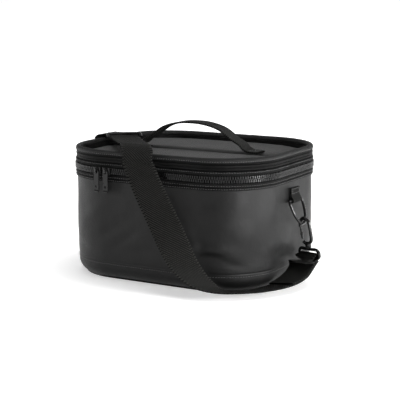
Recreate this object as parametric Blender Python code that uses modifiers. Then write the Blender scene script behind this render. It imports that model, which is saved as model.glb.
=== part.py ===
"""Insulated cooler bag with a zip-round lid, a webbing carry handle and a clip-on shoulder strap.

Units are metres. +Z is up, +X is the bag's long axis and -Y is its front, where the zip pulls hang.
The origin is on the floor, at the middle of the flat base.
"""

import math

import bmesh
import bpy
from mathutils import Matrix, Vector

# Driving dimensions.
LENGTH = 0.300
WIDTH = 0.250
CORNER_RADIUS = 0.080
ZIP_HEIGHT = 0.1495
RIM_HEIGHT = 0.1766
BASE_ROUNDING = 0.018
FLOOR_HEIGHT = 0.0113
STRAP_WIDTH = 0.040
HANDLE_WIDTH = 0.025

# Clearances and wall build-up, from the outer fabric inwards.
GAP = 0.0003
SHELL = 0.0015
FOAM = 0.0067
FOAM_BOTTOM = 0.0186
LINER = 0.0010
TAPE = 0.0023
BASE_PANEL = 0.0018
BASE_BOARD = 0.0025
BASE_INSET = 0.0100
BOARD_INSET = 0.0125
FOAM_MIDDLE = -SHELL - GAP - FOAM / 2
LINER_MIDDLE = -SHELL - FOAM - 2 * GAP - LINER / 2
TAPE_MIDDLE = GAP + TAPE / 2

# The zip: tape and tooth heights above and below the line where the lid parts from the bag.
LID_GAP = 0.0003
TOOTH_HEIGHT = 0.0042
TAPE_HEIGHT = 0.0055
TOOTH_DEPTH = 0.0031
TOOTH_WEB = 0.0010
TOOTH_LENGTH = 0.0055
TOOTH_PITCH = 0.0080

# The lid.
RIM_THICKNESS = 0.0080
RIM_PROUD = 0.0018
BINDING_HEIGHT = 0.0066
PANEL_BOTTOM = 0.1573
PANEL_EDGE = 0.1615
PANEL_TOP = 0.1657
LID_HINGE = Vector((0, WIDTH / 2 + 0.0022, ZIP_HEIGHT))

# The carry handle: an arch over the lid's middle seam. Its feet are sewn to the lid panel.
HANDLE_THICKNESS = 0.0026
HANDLE_AXIS_HEIGHT = 0.174
HANDLE_ARCH = [(-0.0765, 0.174), (-0.062, 0.186), (-0.044, 0.198), (-0.022, 0.2045), (0, 0.2062)]
HANDLE_FOOT = [(-0.102, 0.1676), (-0.092, 0.1677), (-0.0865, 0.1683), (-0.0828, 0.1697), (-0.0797, 0.1722)]

# Zip sliders, their bails and their pulls.
SLIDER_SIZE = Vector((0.0115, 0.0022, 0.0105))
SLIDER_OFFSET = 0.0048
SLIDER_LEFT_ANGLE = math.radians(4.2)
SLIDER_RIGHT_X = -0.062
PEG_HEIGHT = -0.0020
BAIL_RISE = 0.0054
BAIL_RADIUS = 0.0010
BAIL_CORNER = 0.0008
PULL_OFFSET = 0.0070
PULL_WIDTH = 0.0078
PULL_LENGTH = 0.0300
PULL_THICKNESS = 0.0016
PULL_EYE = 0.0018

# D-rings in their fabric tabs, and the swivel hooks that hang from them.
RING_AXIS = Vector((LENGTH / 2 + 0.0045, 0, 0.110))
RING_HALF_WIDTH = 0.019
RING_DROP = 0.0335
RING_WIRE = 0.0019
RING_TILT = math.radians(21)
TAB_WIDTH = 0.026
TAB_THICKNESS = 0.0012
HOOK_FOOT = {1: Vector((0.1752, 0.004, 0.035)), -1: Vector((-0.1690, 0.003, 0.035))}
HOOK_HEAD = {1: Vector((0.1672, 0.001, 0.082)), -1: Vector((-0.1672, 0.001, 0.082))}
LOOP_WIRE = 0.0022
HOOK_WIRE = 0.0023
LOOP_TOP = 0.0090
LOOP_HALF_WIDTH = STRAP_WIDTH / 2 + 0.0030

# The shoulder strap.
STRAP = 0.0016
STRAP_TOP_HEIGHT = 0.1803
ADJUSTER_PLACE = Vector((-0.115, -0.004, STRAP_TOP_HEIGHT))
ADJUSTER_HEADING = Vector((0.625, -0.780, 0)).normalized()

CORNER_X = LENGTH / 2 - CORNER_RADIUS
CORNER_Y = WIDTH / 2 - CORNER_RADIUS
CORNER_STEPS = 8
UP = Vector((0, 0, 1))

# Small trim.
HINGE_FABRIC = 0.0015
LID_BAND = 0.0015
LID_BAND_BOTTOM = 0.1602
SEAM_HALF_WIDTH = 0.0012
ZIP_END_SIZE = (0.0120, 0.0014, 0.0110)
ZIP_END_REACH = CORNER_RADIUS + 0.0045
ZIP_END_HEIGHT = ZIP_HEIGHT - 0.0072
TAB_TOP = 0.1270

# The hook's bow in its own XZ plane, and its gate.
HOOK_BOW = [
    (-0.0058, 0.0205), (-0.0035, 0.0175), (0.0020, 0.0168), (0.0058, 0.0205), (0.0066, 0.0280),
    (0.0066, 0.0420), (0.0052, 0.0480), (0.0020, 0.0512), (-0.0020, 0.0512), (-0.0052, 0.0480),
    (-0.0066, 0.0430), (-0.0066, 0.0405),
]
GATE_PIVOT = Vector((-0.0064, 0, 0.0238))
GATE_HEIGHTS = (-0.0003, 0.0080, 0.0158)
GATE_RADIUS = 0.0014
LOOP_TURN = {1: math.radians(58), -1: 0.0}

# The three-bar slide.
ADJUSTER_ACROSS = Vector((-ADJUSTER_HEADING.y, ADJUSTER_HEADING.x, 0))
ADJUSTER_LENGTH = 0.0480
ADJUSTER_WIDTH = 0.0230
ADJUSTER_RAIL = 0.0030
ADJUSTER_RAIL_HEIGHT = 0.0068
ADJUSTER_BAR = 0.0022

# The strap's routes, as (centre, direction across the webbing).
STRAP_FRONT_ROUTE = [
    ((-0.0044, -0.1413, 0.1642), (1, 0.24, 0)),
    ((0.0048, -0.1421, 0.1455), (0.95, 0.25, 0.05)),
    ((0.0160, -0.1426, 0.1244), (0.92, 0.28, 0.12)),
    ((0.0364, -0.1428, 0.0880), (0.86, 0.38, 0.24)),
    ((0.0482, -0.1434, 0.0668), (0.75, 0.57, 0.22)),
    ((0.0620, -0.1450, 0.0450), (0.57, 0.78, 0.12)),
    ((0.0772, -0.1450, 0.0280), (0.42, 0.90, 0)),
    ((0.0932, -0.1430, 0.0160), (0.20, 0.97, -0.07)),
    ((0.1104, -0.1352, 0.0086), (-0.18, 0.97, -0.15)),
    ((0.1284, -0.1197, 0.0060), (-0.52, 0.84, -0.18)),
    ((0.1484, -0.0970, 0.0055), (-0.82, 0.57, -0.18)),
    ((0.1638, -0.0674, 0.0072), (-0.96, 0.23, -0.15)),
    ((0.1722, -0.0420, 0.0130), (-1, 0.15, -0.12)),
    ((0.1742, -0.0200, 0.0230), (-0.97, 0.25, -0.10)),
]
STRAP_END_STATIONS = 8
STRAP_END_TAPER = 0.034
STRAP_LAYER_GAP = 0.0007
STRAP_ARRIVAL_LEAN = 0.55
STRAP_WRAP = LOOP_WIRE + 0.0008 + STRAP / 2
STRAP_LEFT_ROUTE = [
    ((-0.1572, 0.003, 0.1700), (0, 1, 0)),
    ((-0.1650, 0.005, 0.1450), (0, 1, 0)),
    ((-0.1765, 0.007, 0.1100), (0, 1, 0)),
    ((-0.1825, 0.008, 0.0750), (0, 1, 0)),
    ((-0.1838, 0.008, 0.0400), (0, 1, 0)),
    ((-0.1815, 0.007, 0.0170), (0, 1, 0)),
    ((-0.1745, 0.006, 0.0075), (0, 1, 0)),
    ((-0.1675, 0.0045, 0.0150), (0, 1, 0)),
]
STRAP_TOP_START = [
    ((-0.1569, 0.003, 0.1716), (0, 1, 0)),
    ((-0.1562, 0.004, 0.1770), (0, 1, 0)),
    ((-0.1530, 0.006, 0.1802), (0, 1, 0)),
    ((-0.1470, 0.008, 0.1803), (0.1, 1, 0)),
    ((-0.1360, 0.0095, 0.1803), (0.45, 0.89, 0)),
]
STRAP_FLAT_REACHES = (-0.0165, 0.0, 0.014, 0.028)
STRAP_TOP_END = [
    ((-0.0750, -0.0540, 0.1812), (0.9, 0.35, 0)),
    ((-0.0470, -0.0880, 0.1840), (1, 0.12, 0)),
    ((-0.0290, -0.1120, 0.1864), (1, 0.02, 0)),
    ((-0.0210, -0.1210, 0.1866), (1, 0.04, 0)),
    ((-0.0150, -0.1295, 0.1843), (1, 0.08, 0)),
    ((-0.0095, -0.1353, 0.1783), (1, 0.18, 0)),
    ((-0.0068, -0.1395, 0.1710), (1, 0.22, 0)),
    ((-0.0050, -0.1412, 0.1657), (1, 0.24, 0)),
]
STRAP_RETURN_ROUTE = [
    ((-0.1545, 0.003, 0.1716), (0, 1, 0)),
    ((-0.1540, 0.004, 0.1755), (0, 1, 0)),
    ((-0.1515, 0.006, 0.1778), (0, 1, 0)),
    ((-0.1470, 0.008, 0.1780), (0.1, 1, 0)),
    ((-0.1435, 0.0085, 0.1780), (0.15, 1, 0)),
]

FINISHES = {
    "shell_fabric": ((0.030, 0.030, 0.031), 0.62, 0.0),
    "lid_fabric": ((0.036, 0.036, 0.037), 0.60, 0.0),
    "binding": ((0.020, 0.020, 0.021), 0.70, 0.0),
    "zip_tape": ((0.014, 0.014, 0.015), 0.75, 0.0),
    "zip_teeth": ((0.012, 0.012, 0.013), 0.35, 0.0),
    "webbing": ((0.026, 0.027, 0.024), 0.80, 0.0),
    "hardware": ((0.010, 0.010, 0.011), 0.28, 0.4),
    "liner": ((0.58, 0.59, 0.60), 0.35, 0.2),
    "foam": ((0.78, 0.78, 0.76), 0.90, 0.0),
    "board": ((0.10, 0.10, 0.10), 0.55, 0.0),
}


# ---------------------------------------------------------------- scene helpers


def clear_scene():
    for old in list(bpy.data.objects):
        bpy.data.objects.remove(old)


def new_collection(name):
    collection = bpy.data.collections.new(name)
    bpy.context.scene.collection.children.link(collection)
    return collection


def finish_named(name):
    """The named Principled material, made the first time it is asked for."""
    found = bpy.data.materials.get(name)
    if found:
        return found
    colour, roughness, metallic = FINISHES[name]
    material = bpy.data.materials.new(name)
    material.use_nodes = True
    shader = material.node_tree.nodes["Principled BSDF"]
    shader.inputs["Base Color"].default_value = (*colour, 1)
    shader.inputs["Roughness"].default_value = roughness
    shader.inputs["Metallic"].default_value = metallic
    return material


def place(name, mesh_builder, finish, collection, smooth_angle=40):
    """An object named name from a bmesh, which is freed."""
    mesh = bpy.data.meshes.new(name)
    mesh_builder.to_mesh(mesh)
    mesh_builder.free()
    mesh.shade_smooth()
    mesh.set_sharp_from_angle(angle=math.radians(smooth_angle))
    mesh.materials.append(finish_named(finish))
    obj = bpy.data.objects.new(name, mesh)
    collection.objects.link(obj)
    return obj


def axis_empty(name, location, parent=None):
    """An empty on a joint's axis, which the moving pieces are parented to."""
    empty = bpy.data.objects.new(name, None)
    empty.empty_display_size = 0.02
    PARTS.objects.link(empty)
    empty.location = location
    if parent:
        attach(empty, parent)
    return empty


def attach(obj, parent):
    """Parents obj and keeps it where it is."""
    bpy.context.view_layer.update()
    obj.parent = parent
    obj.matrix_parent_inverse = parent.matrix_world.inverted()


def solidify(obj, thickness):
    modifier = obj.modifiers.new("thickness", "SOLIDIFY")
    modifier.thickness = thickness
    modifier.offset = 0
    modifier.use_even_offset = True


def bevel(obj, width, segments=2, angle=40):
    modifier = obj.modifiers.new("rounding", "BEVEL")
    modifier.width = width
    modifier.segments = segments
    modifier.limit_method = "ANGLE"
    modifier.angle_limit = math.radians(angle)


def join_solid(obj, helper):
    """Unites obj with a helper body that overlaps it."""
    helper.hide_render = True
    helper.display_type = "WIRE"
    modifier = obj.modifiers.new("join_" + helper.name, "BOOLEAN")
    modifier.operation = "UNION"
    modifier.object = helper


def smooth_path(points, steps):
    """A Catmull-Rom curve through points, with steps spans between each pair."""
    ends = [2 * points[0] - points[1], *points, 2 * points[-1] - points[-2]]
    path = []
    for before, start, end, after in zip(ends, ends[1:], ends[2:], ends[3:]):
        for step in range(steps):
            t = step / steps
            path.append(
                0.5
                * (
                    2 * start
                    + (end - before) * t
                    + (2 * before - 5 * start + 4 * end - after) * t**2
                    + (3 * start - before - 3 * end + after) * t**3
                )
            )
    path.append(points[-1].copy())
    return path


# ---------------------------------------------------------------- plan outline


def arc(centre_x, centre_y, radius, start, end, steps):
    """Points on an arc from start to end, in degrees."""
    turns = [math.radians(start + (end - start) * step / steps) for step in range(steps + 1)]
    return [Vector((centre_x + radius * math.cos(a), centre_y + radius * math.sin(a), 0)) for a in turns]


def zip_route(offset):
    """The plan outline from the back left corner's middle, round the front, to the back right one's."""
    radius = CORNER_RADIUS + offset
    half = CORNER_STEPS // 2
    return (
        arc(-CORNER_X, CORNER_Y, radius, 135, 180, half)
        + arc(-CORNER_X, -CORNER_Y, radius, 180, 270, CORNER_STEPS)
        + arc(CORNER_X, -CORNER_Y, radius, 270, 360, CORNER_STEPS)
        + arc(CORNER_X, CORNER_Y, radius, 0, 45, half)
    )


def back_route(offset):
    """The rest of the plan outline, along the back."""
    radius = CORNER_RADIUS + offset
    half = CORNER_STEPS // 2
    return arc(CORNER_X, CORNER_Y, radius, 45, 90, half) + arc(-CORNER_X, CORNER_Y, radius, 90, 135, half)


def whole_outline(offset):
    return zip_route(offset) + back_route(offset)[1:-1]


# ---------------------------------------------------------------- shape builders


def loft(name, loops, finish, cap=False, closed=True):
    """Faces from loop to loop of points, with optional end caps."""
    builder = bmesh.new()
    rows = [[builder.verts.new(point) for point in loop] for loop in loops]
    for lower, upper in zip(rows, rows[1:]):
        pairs = list(zip(lower, lower[1:], upper, upper[1:]))
        if closed:
            pairs.append((lower[-1], lower[0], upper[-1], upper[0]))
        for a, b, c, d in pairs:
            builder.faces.new((a, b, d, c))
    if cap:
        builder.faces.new(rows[-1])
    if cap == "both":
        builder.faces.new(rows[0])
    bmesh.ops.recalc_face_normals(builder, faces=builder.faces)
    return place(name, builder, finish, PARTS)


def skirt(name, stations, thickness, finish, floor=False):
    """A wall round the whole plan through (offset, height) stations, with an optional floor."""
    loops = [[point + height * UP for point in whole_outline(offset)] for offset, height in stations]
    obj = loft(name, loops, finish, cap=floor)
    solidify(obj, thickness)
    return obj


def strip(name, route, low, high, thickness, finish):
    """An upright band along an open route."""
    obj = loft(name, [[p + low * UP for p in route], [p + high * UP for p in route]], finish, closed=False)
    solidify(obj, thickness)
    return obj


def slab(name, points, low, high, finish, rounding=0.0):
    """A flat plate with the given outline."""
    obj = loft(name, [[p + low * UP for p in points], [p + high * UP for p in points]], finish, cap="both")
    if rounding:
        bevel(obj, rounding)
    return obj


def ribbon(name, path, thickness, finish):
    """Webbing along a path of (centre, half-width vector) pairs."""
    rows = [[centre - half, centre + half] for centre, half in path]
    obj = loft(name, rows, finish, closed=False)
    solidify(obj, thickness)
    return obj


def ruled_path(stations, steps):
    """(centre, half-width vector) pairs from (centre, ruling direction) stations, at full strap width."""
    centres = smooth_path([Vector(centre) for centre, _ in stations], steps)
    rulings = smooth_path([Vector(ruling) for _, ruling in stations], steps)
    path = []
    for index, centre in enumerate(centres):
        heading = (centres[min(index + 1, len(centres) - 1)] - centres[max(index - 1, 0)]).normalized()
        ruling = rulings[index].normalized()
        across = ruling - ruling.dot(heading) * heading
        path.append((centre, ruling * (STRAP_WIDTH / 2 / across.length)))
    return path


def turn_round_bar(path, bar, across, side, layers):
    """Carries a strap path over a round bar and back along itself, layers stations far.

    side is the direction from the bar to the webbing that arrives. The layer that comes back lies on
    the bar's other side, one webbing thickness and a small gap away.
    """
    half = across * (STRAP_WIDTH / 2)
    heading = (bar - path[-1][0]).normalized()
    heading = (heading - heading.dot(side) * side).normalized()
    carried = list(path)
    for angle in turns(85, -75, 4):
        carried.append((bar + STRAP_WRAP * (math.cos(angle) * heading + math.sin(angle) * side), half))
    last = len(path) - 1
    for index in range(last, last - layers, -1):
        centre, edge = path[index]
        ahead = path[index + 1][0] if index < last else bar + STRAP_WRAP * side
        behind = path[max(index - 1, 0)][0]
        normal = (ahead - behind).cross(edge).normalized()
        if index == last:
            flip = -1 if normal.dot(side) < 0 else 1
        spread = 2 * STRAP_WRAP * (1 - (centre - bar).length / STRAP_END_TAPER)
        spacing = max(STRAP + STRAP_LAYER_GAP, spread)
        carried.append((centre - flip * spacing * normal, edge))
    return carried


def wire(name, points, radius, finish, cyclic=False, collection=None):
    """A round bar along points, as a mesh whose caps are welded."""
    curve = bpy.data.curves.new(name, "CURVE")
    curve.dimensions = "3D"
    curve.bevel_depth = radius
    curve.bevel_resolution = 2
    curve.use_fill_caps = True
    spline = curve.splines.new("POLY")
    spline.points.add(len(points) - 1)
    for knot, point in zip(spline.points, points):
        knot.co = (*point, 1)
    spline.use_cyclic_u = cyclic
    guide = bpy.data.objects.new(name + "_curve", curve)
    bpy.context.scene.collection.objects.link(guide)
    bpy.context.view_layer.update()
    mesh = bpy.data.meshes.new_from_object(guide.evaluated_get(bpy.context.evaluated_depsgraph_get()))
    bpy.data.objects.remove(guide)
    builder = bmesh.new()
    builder.from_mesh(mesh)
    bpy.data.meshes.remove(mesh)
    bmesh.ops.remove_doubles(builder, verts=builder.verts, dist=1e-6)
    bmesh.ops.recalc_face_normals(builder, faces=builder.faces)
    return place(name, builder, finish, collection or PARTS)


def box(name, size, centre, finish, collection=None):
    builder = bmesh.new()
    bmesh.ops.create_cube(builder, size=1, matrix=Matrix.Translation(centre) @ Matrix.Diagonal((*size, 1)))
    return place(name, builder, finish, collection or PARTS)


def turns(start, end, steps):
    """Angles in radians from start to end, in degrees."""
    return [math.radians(start + (end - start) * step / steps) for step in range(steps + 1)]


# ---------------------------------------------------------------- the bag body


def build_base():
    """The flat foot panel, the stiffening board on it and the foam under the liner's floor."""
    board = BASE_PANEL + GAP
    foam = board + BASE_BOARD + GAP
    slab("base_panel", whole_outline(-BASE_INSET), 0, BASE_PANEL, "shell_fabric", rounding=0.0008)
    slab("base_board", whole_outline(-BOARD_INSET), board, board + BASE_BOARD, "board")
    slab("base_foam", whole_outline(-BASE_INSET), foam, FLOOR_HEIGHT - GAP, "foam")


def build_walls():
    """The outer shell with its rounded foot, the wall foam and the liner with its floor."""
    top = ZIP_HEIGHT - 2 * LID_GAP
    middle = -SHELL / 2
    radius = BASE_ROUNDING + middle
    stations = [(middle, top)]
    for turn in turns(0, 60, 3):
        stations.append((middle - radius * (1 - math.cos(turn)), BASE_ROUNDING - radius * math.sin(turn)))
    skirt("outer_shell", stations, SHELL, "shell_fabric")
    skirt("wall_foam", [(FOAM_MIDDLE, top - 0.001), (FOAM_MIDDLE, FOAM_BOTTOM)], FOAM, "foam")
    floor = FLOOR_HEIGHT + LINER / 2
    skirt("inner_liner", [(LINER_MIDDLE, top), (LINER_MIDDLE, floor)], LINER, "liner", floor=True)


def build_zip_half(name, side):
    """The tape and teeth on one side of the parting line: side is -1 on the bag and 1 on the lid."""
    start = ZIP_HEIGHT + side * LID_GAP
    tape_start = start + side * (TOOTH_HEIGHT + GAP)
    low, high = sorted((tape_start, tape_start + side * TAPE_HEIGHT))
    tape = strip(name + "_zip_tape", zip_route(TAPE_MIDDLE), low, high, TAPE, "zip_tape")
    teeth = build_teeth(name + "_zip_teeth", *sorted((start, start + side * TOOTH_HEIGHT)))
    return tape, teeth


def build_teeth(name, low, high):
    """A row of moulded teeth on a thin web, evenly spaced along the zip, as one comb-shaped plate."""
    inner = zip_route(GAP)
    outer = []
    travelled = TOOTH_PITCH
    web = GAP + TOOTH_WEB
    tip = GAP + TOOTH_DEPTH
    for start, end in zip(inner, inner[1:]):
        span = end - start
        along = span.normalized()
        outwards = along.cross(UP)
        while travelled + TOOTH_LENGTH / 2 < span.length:
            for reach, shift in ((web, -1), (tip, -1), (tip, 1), (web, 1)):
                place_along = travelled + shift * TOOTH_LENGTH / 2
                outer.append(start + along * place_along + outwards * (reach - GAP))
            travelled += TOOTH_PITCH
        travelled = max(travelled - span.length, TOOTH_LENGTH / 2 + 0.0004)
    outer = [zip_route(web)[0], *outer, zip_route(web)[-1]]
    return slab(name, inner + outer[::-1], low, high, "zip_teeth")


def build_back_hinge():
    """The fabric hinge along the back: its lower half is on the bag and its upper half on the lid."""
    reach = TOOTH_HEIGHT + TAPE_HEIGHT
    route = back_route(GAP + HINGE_FABRIC / 2)[1:-1]
    below = ZIP_HEIGHT - LID_GAP
    above = ZIP_HEIGHT + LID_GAP
    strip("back_hinge_lower", route, below - reach, below, HINGE_FABRIC, "shell_fabric")
    return strip("back_hinge_upper", route, above, above + reach, HINGE_FABRIC, "shell_fabric")


def build_zip_ends():
    """Small fabric tabs over the ends of the lower zip tape, on the two back corners."""
    for side, name in ((-1, "zip_end_left"), (1, "zip_end_right")):
        turn = math.radians(90 - side * 45)
        outwards = Vector((math.cos(turn), math.sin(turn), 0))
        tab = box(name, ZIP_END_SIZE, Vector(), "shell_fabric")
        tab.location = Vector((side * CORNER_X, CORNER_Y, ZIP_END_HEIGHT)) + ZIP_END_REACH * outwards
        tab.rotation_euler = (0, 0, turn - math.radians(90))
        bevel(tab, 0.0005)


# ---------------------------------------------------------------- the lid


def build_lid(axis):
    """Everything of the lid except the handle and the strap, on the hinge's axis."""
    above = ZIP_HEIGHT + LID_GAP
    wall_top = RIM_HEIGHT - BINDING_HEIGHT
    wall_thickness = RIM_THICKNESS - RIM_PROUD
    inner = RIM_PROUD - RIM_THICKNESS - GAP
    band_middle = GAP + LID_BAND / 2
    binding_middle = RIM_PROUD - RIM_THICKNESS / 2
    wall = [(-wall_thickness / 2, wall_top), (-wall_thickness / 2, above)]
    band = [(band_middle, wall_top), (band_middle, LID_BAND_BOTTOM)]
    binding = [(binding_middle, RIM_HEIGHT), (binding_middle, wall_top + GAP)]
    rolled = skirt("lid_binding", binding, RIM_THICKNESS, "binding")
    bevel(rolled, 0.0025, segments=3, angle=60)
    pieces = [
        rolled,
        skirt("lid_wall", wall, wall_thickness, "lid_fabric"),
        skirt("lid_band", band, LID_BAND, "lid_fabric"),
        slab("lid_liner", whole_outline(inner), above, above + LINER, "liner"),
        slab("lid_foam", whole_outline(inner), above + LINER + GAP, PANEL_BOTTOM - GAP, "foam"),
        build_lid_panel("lid_panel_front", inner, -1),
        build_lid_panel("lid_panel_back", inner, 1),
        build_back_hinge(),
        *build_zip_half("upper", 1),
    ]
    for piece in pieces:
        attach(piece, axis)


def build_lid_panel(name, offset, side):
    """One padded half of the lid's top, crowned, with its straight edge at the sunken middle seam."""
    seam = side * SEAM_HALF_WIDTH
    edge = [point for point in whole_outline(offset) if point.y * side > 0]
    edge.sort(key=lambda point: math.atan2(point.y * side, point.x))
    outline = [Vector((edge[0].x, seam, 0)), *edge, Vector((-edge[0].x, seam, 0))]
    middle = sum(outline, Vector((0, 0, 0))) / len(outline)
    rings = (
        (1.0, PANEL_BOTTOM),
        (1.0, PANEL_EDGE - 0.0012),
        (0.97, PANEL_EDGE + 0.0012),
        (0.84, PANEL_TOP - 0.0009),
        (0.60, PANEL_TOP),
    )
    loops = []
    for scale, height in rings:
        loops.append([middle + (point - middle) * scale + height * UP for point in outline])
    return loft(name, loops, "lid_fabric", cap="both")


def build_handle(lid_axis):
    """The webbing handle: an arch that tilts, and two sewn feet that stay on the lid."""
    half = HANDLE_WIDTH / 2 * Vector((0, 1, 0))
    left = [Vector((x, 0, z)) for x, z in HANDLE_ARCH]
    right = [Vector((-x, 0, z)) for x, z in reversed(HANDLE_ARCH[:-1])]
    path = [(point, half) for point in smooth_path(left + right, 3)]
    arch = ribbon("carry_handle", path, HANDLE_THICKNESS, "webbing")
    axis = axis_empty("handle_axis", (0, 0, HANDLE_AXIS_HEIGHT), lid_axis)
    attach(arch, axis)
    for side, name in ((1, "handle_foot_left"), (-1, "handle_foot_right")):
        foot = smooth_path([Vector((side * x, 0, z)) for x, z in HANDLE_FOOT], 2)
        attach(ribbon(name, [(point, half) for point in foot], HANDLE_THICKNESS, "webbing"), lid_axis)


# ---------------------------------------------------------------- zip sliders


def build_slider(name, location, turn):
    """A slider body with its bail. Its local -Y faces outwards, and its origin is on the zip line."""
    slider = box("zip_slider_" + name, SLIDER_SIZE, (0, -SLIDER_OFFSET, 0), "hardware")
    bevel(slider, 0.0008)
    inner = -SLIDER_OFFSET - SLIDER_SIZE.y / 2 + BAIL_CORNER
    front = -PULL_OFFSET - PULL_THICKNESS / 2 - BAIL_RADIUS - 0.0004
    top = PEG_HEIGHT + BAIL_RISE
    bail_points = [
        Vector((0, inner, PEG_HEIGHT)),
        Vector((0, front + BAIL_CORNER, PEG_HEIGHT)),
        Vector((0, front, PEG_HEIGHT + BAIL_CORNER)),
        Vector((0, front, top - BAIL_CORNER)),
        Vector((0, front + BAIL_CORNER, top)),
        Vector((0, inner, top)),
    ]
    bail = wire("bail_" + name, bail_points, BAIL_RADIUS, "hardware", collection=HELPERS)
    for obj in (slider, bail):
        obj.location = location
        obj.rotation_euler = (0, 0, turn)
    join_solid(slider, bail)
    return slider, bail


def build_pull(name, location, turn):
    """A flat pull tab with an eye at the top, where its origin is, and a hole near its lower end."""
    half = PULL_WIDTH / 2
    drop = PULL_LENGTH - half
    corner = 0.0020
    outline = arc(0, 0, half, 0, 180, 8)
    outline += arc(-half + corner, -drop + corner, corner, 180, 270, 3)
    outline += arc(half - corner, -drop + corner, corner, 270, 360, 3)
    eye = arc(0, 0, PULL_EYE, 0, 315, 7)
    hole = arc(0, -drop + 0.0068, PULL_EYE, 0, 315, 7)
    curve = bpy.data.curves.new("zip_pull_" + name, "CURVE")
    curve.dimensions = "2D"
    curve.fill_mode = "BOTH"
    curve.extrude = PULL_THICKNESS / 2
    for points in (outline, eye, hole):
        spline = curve.splines.new("POLY")
        spline.points.add(len(points) - 1)
        for knot, point in zip(spline.points, points):
            knot.co = (point.x, point.y, 0, 1)
        spline.use_cyclic_u = True
    curve.materials.append(finish_named("hardware"))
    pull = bpy.data.objects.new("zip_pull_" + name, curve)
    PARTS.objects.link(pull)
    pull.location = location
    pull.rotation_euler = (math.radians(90), 0, turn)
    return pull


def build_zip_sliders():
    """The left slider runs round the front left corner, and the right one along the straight front."""
    corner = Vector((-CORNER_X, -CORNER_Y, ZIP_HEIGHT))
    outwards = Vector((-math.sin(SLIDER_LEFT_ANGLE), -math.cos(SLIDER_LEFT_ANGLE), 0))
    left_axis = axis_empty("slider_left_axis", corner)
    right_place = Vector((SLIDER_RIGHT_X, -WIDTH / 2, ZIP_HEIGHT))
    right_axis = axis_empty("slider_right_axis", right_place)
    sliders = (
        ("left", corner + CORNER_RADIUS * outwards, -SLIDER_LEFT_ANGLE, outwards, left_axis),
        ("right", right_place, 0.0, Vector((0, -1, 0)), right_axis),
    )
    for name, spot, turn, facing, axis in sliders:
        for obj in build_slider(name, spot, turn):
            attach(obj, axis)
        eye = spot + PULL_OFFSET * facing + PEG_HEIGHT * UP
        pull_axis = axis_empty("pull_axis_" + name, eye, axis)
        attach(build_pull(name, eye, turn), pull_axis)


# ---------------------------------------------------------------- rings, tabs and hooks


def build_ring_and_tab(name, side):
    """A D-ring that leans outwards, and the fabric tab that holds its straight bar to the wall."""
    start = Vector((side * RING_AXIS.x, RING_AXIS.y, RING_AXIS.z))
    shoulder = 0.0035
    points = [Vector((0, -RING_HALF_WIDTH + 0.0015, 0)), Vector((0, RING_HALF_WIDTH - 0.0015, 0))]
    for turn in turns(0, 180, 12):
        drop = shoulder + (RING_DROP - shoulder) * math.sin(turn)
        points.append(Vector((0, RING_HALF_WIDTH * math.cos(turn), -drop)))
    ring = wire("d_ring_" + name, points, RING_WIRE, "hardware", cyclic=True)
    ring.location = start
    ring.rotation_euler = (0, -side * RING_TILT, 0)
    attach(ring, axis_empty("ring_axis_" + name, start))

    wall = LENGTH / 2 + GAP + TAB_THICKNESS / 2
    wrap = RING_WIRE + 0.0005 + TAB_THICKNESS / 2
    outer = wall + TAB_THICKNESS + 0.0004
    section = [(wall, TAB_TOP), (wall, 0.1140)]
    for turn in turns(200, 380, 6):
        section.append((RING_AXIS.x + wrap * math.cos(turn), RING_AXIS.z + wrap * math.sin(turn)))
    section += [(outer + 0.0014, 0.1155), (outer, 0.1190), (outer, TAB_TOP)]
    half = Vector((0, TAB_WIDTH / 2, 0))
    path = [(Vector((side * x, 0, z)), half) for x, z in section]
    ribbon("ring_tab_" + name, path, TAB_THICKNESS, "webbing")


def hook_frame(side):
    """The hook's own axes: Z along its swivel, from the strap loop up to the bow, and X outwards."""
    foot = HOOK_FOOT[side]
    up = (HOOK_HEAD[side] - foot).normalized()
    across = up.cross(Vector((side, 0, 0))).normalized()
    frame = Matrix((across.cross(up), across, up)).transposed().to_4x4()
    frame.translation = foot
    return frame


def loop_frame(side):
    """The strap loop's axes: the hook's, turned about the swivel so that Y is along the loop's bar."""
    return hook_frame(side) @ Matrix.Rotation(LOOP_TURN[side], 4, "Z")


def build_hook(name, side):
    """A swivel hook: its strap loop stays with the strap, and its bow and gate turn above the loop."""
    half = LOOP_HALF_WIDTH
    outline = [
        (-half + 0.0015, 0), (half - 0.0015, 0), (half, 0.0015), (half, 0.0055),
        (half - 0.0050, LOOP_TOP), (-half + 0.0050, LOOP_TOP), (-half, 0.0055), (-half, 0.0015),
    ]
    loop_points = [Vector((0, y, z)) for y, z in outline]
    loop = wire("hook_loop_" + name, loop_points, LOOP_WIRE, "hardware", cyclic=True)
    loop.matrix_world = loop_frame(side)

    frame = hook_frame(side)
    hook = wire("hook_" + name, [Vector((x, 0, z)) for x, z in HOOK_BOW], HOOK_WIRE, "hardware")
    collar_low = LOOP_TOP + LOOP_WIRE + GAP
    collar_length = HOOK_BOW[2][1] - collar_low
    builder = bmesh.new()
    bmesh.ops.create_cone(
        builder, cap_ends=True, segments=12, radius1=0.0042, radius2=0.0036, depth=collar_length,
        matrix=Matrix.Translation((0, 0, collar_low + collar_length / 2)),
    )
    collar = place("collar_" + name, builder, "hardware", HELPERS)
    axis = axis_empty("hook_axis_" + name, frame.translation)
    axis.matrix_world = frame
    for obj in (hook, collar):
        obj.matrix_world = frame
        attach(obj, axis)
    join_solid(hook, collar)

    gate = wire("hook_gate_" + name, [Vector((0, 0, z)) for z in GATE_HEIGHTS], GATE_RADIUS, "hardware")
    gate.matrix_world = frame @ Matrix.Translation(GATE_PIVOT)
    gate_axis = axis_empty("gate_axis_" + name, frame @ GATE_PIVOT, axis)
    attach(gate, gate_axis)


# ---------------------------------------------------------------- shoulder strap


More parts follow.
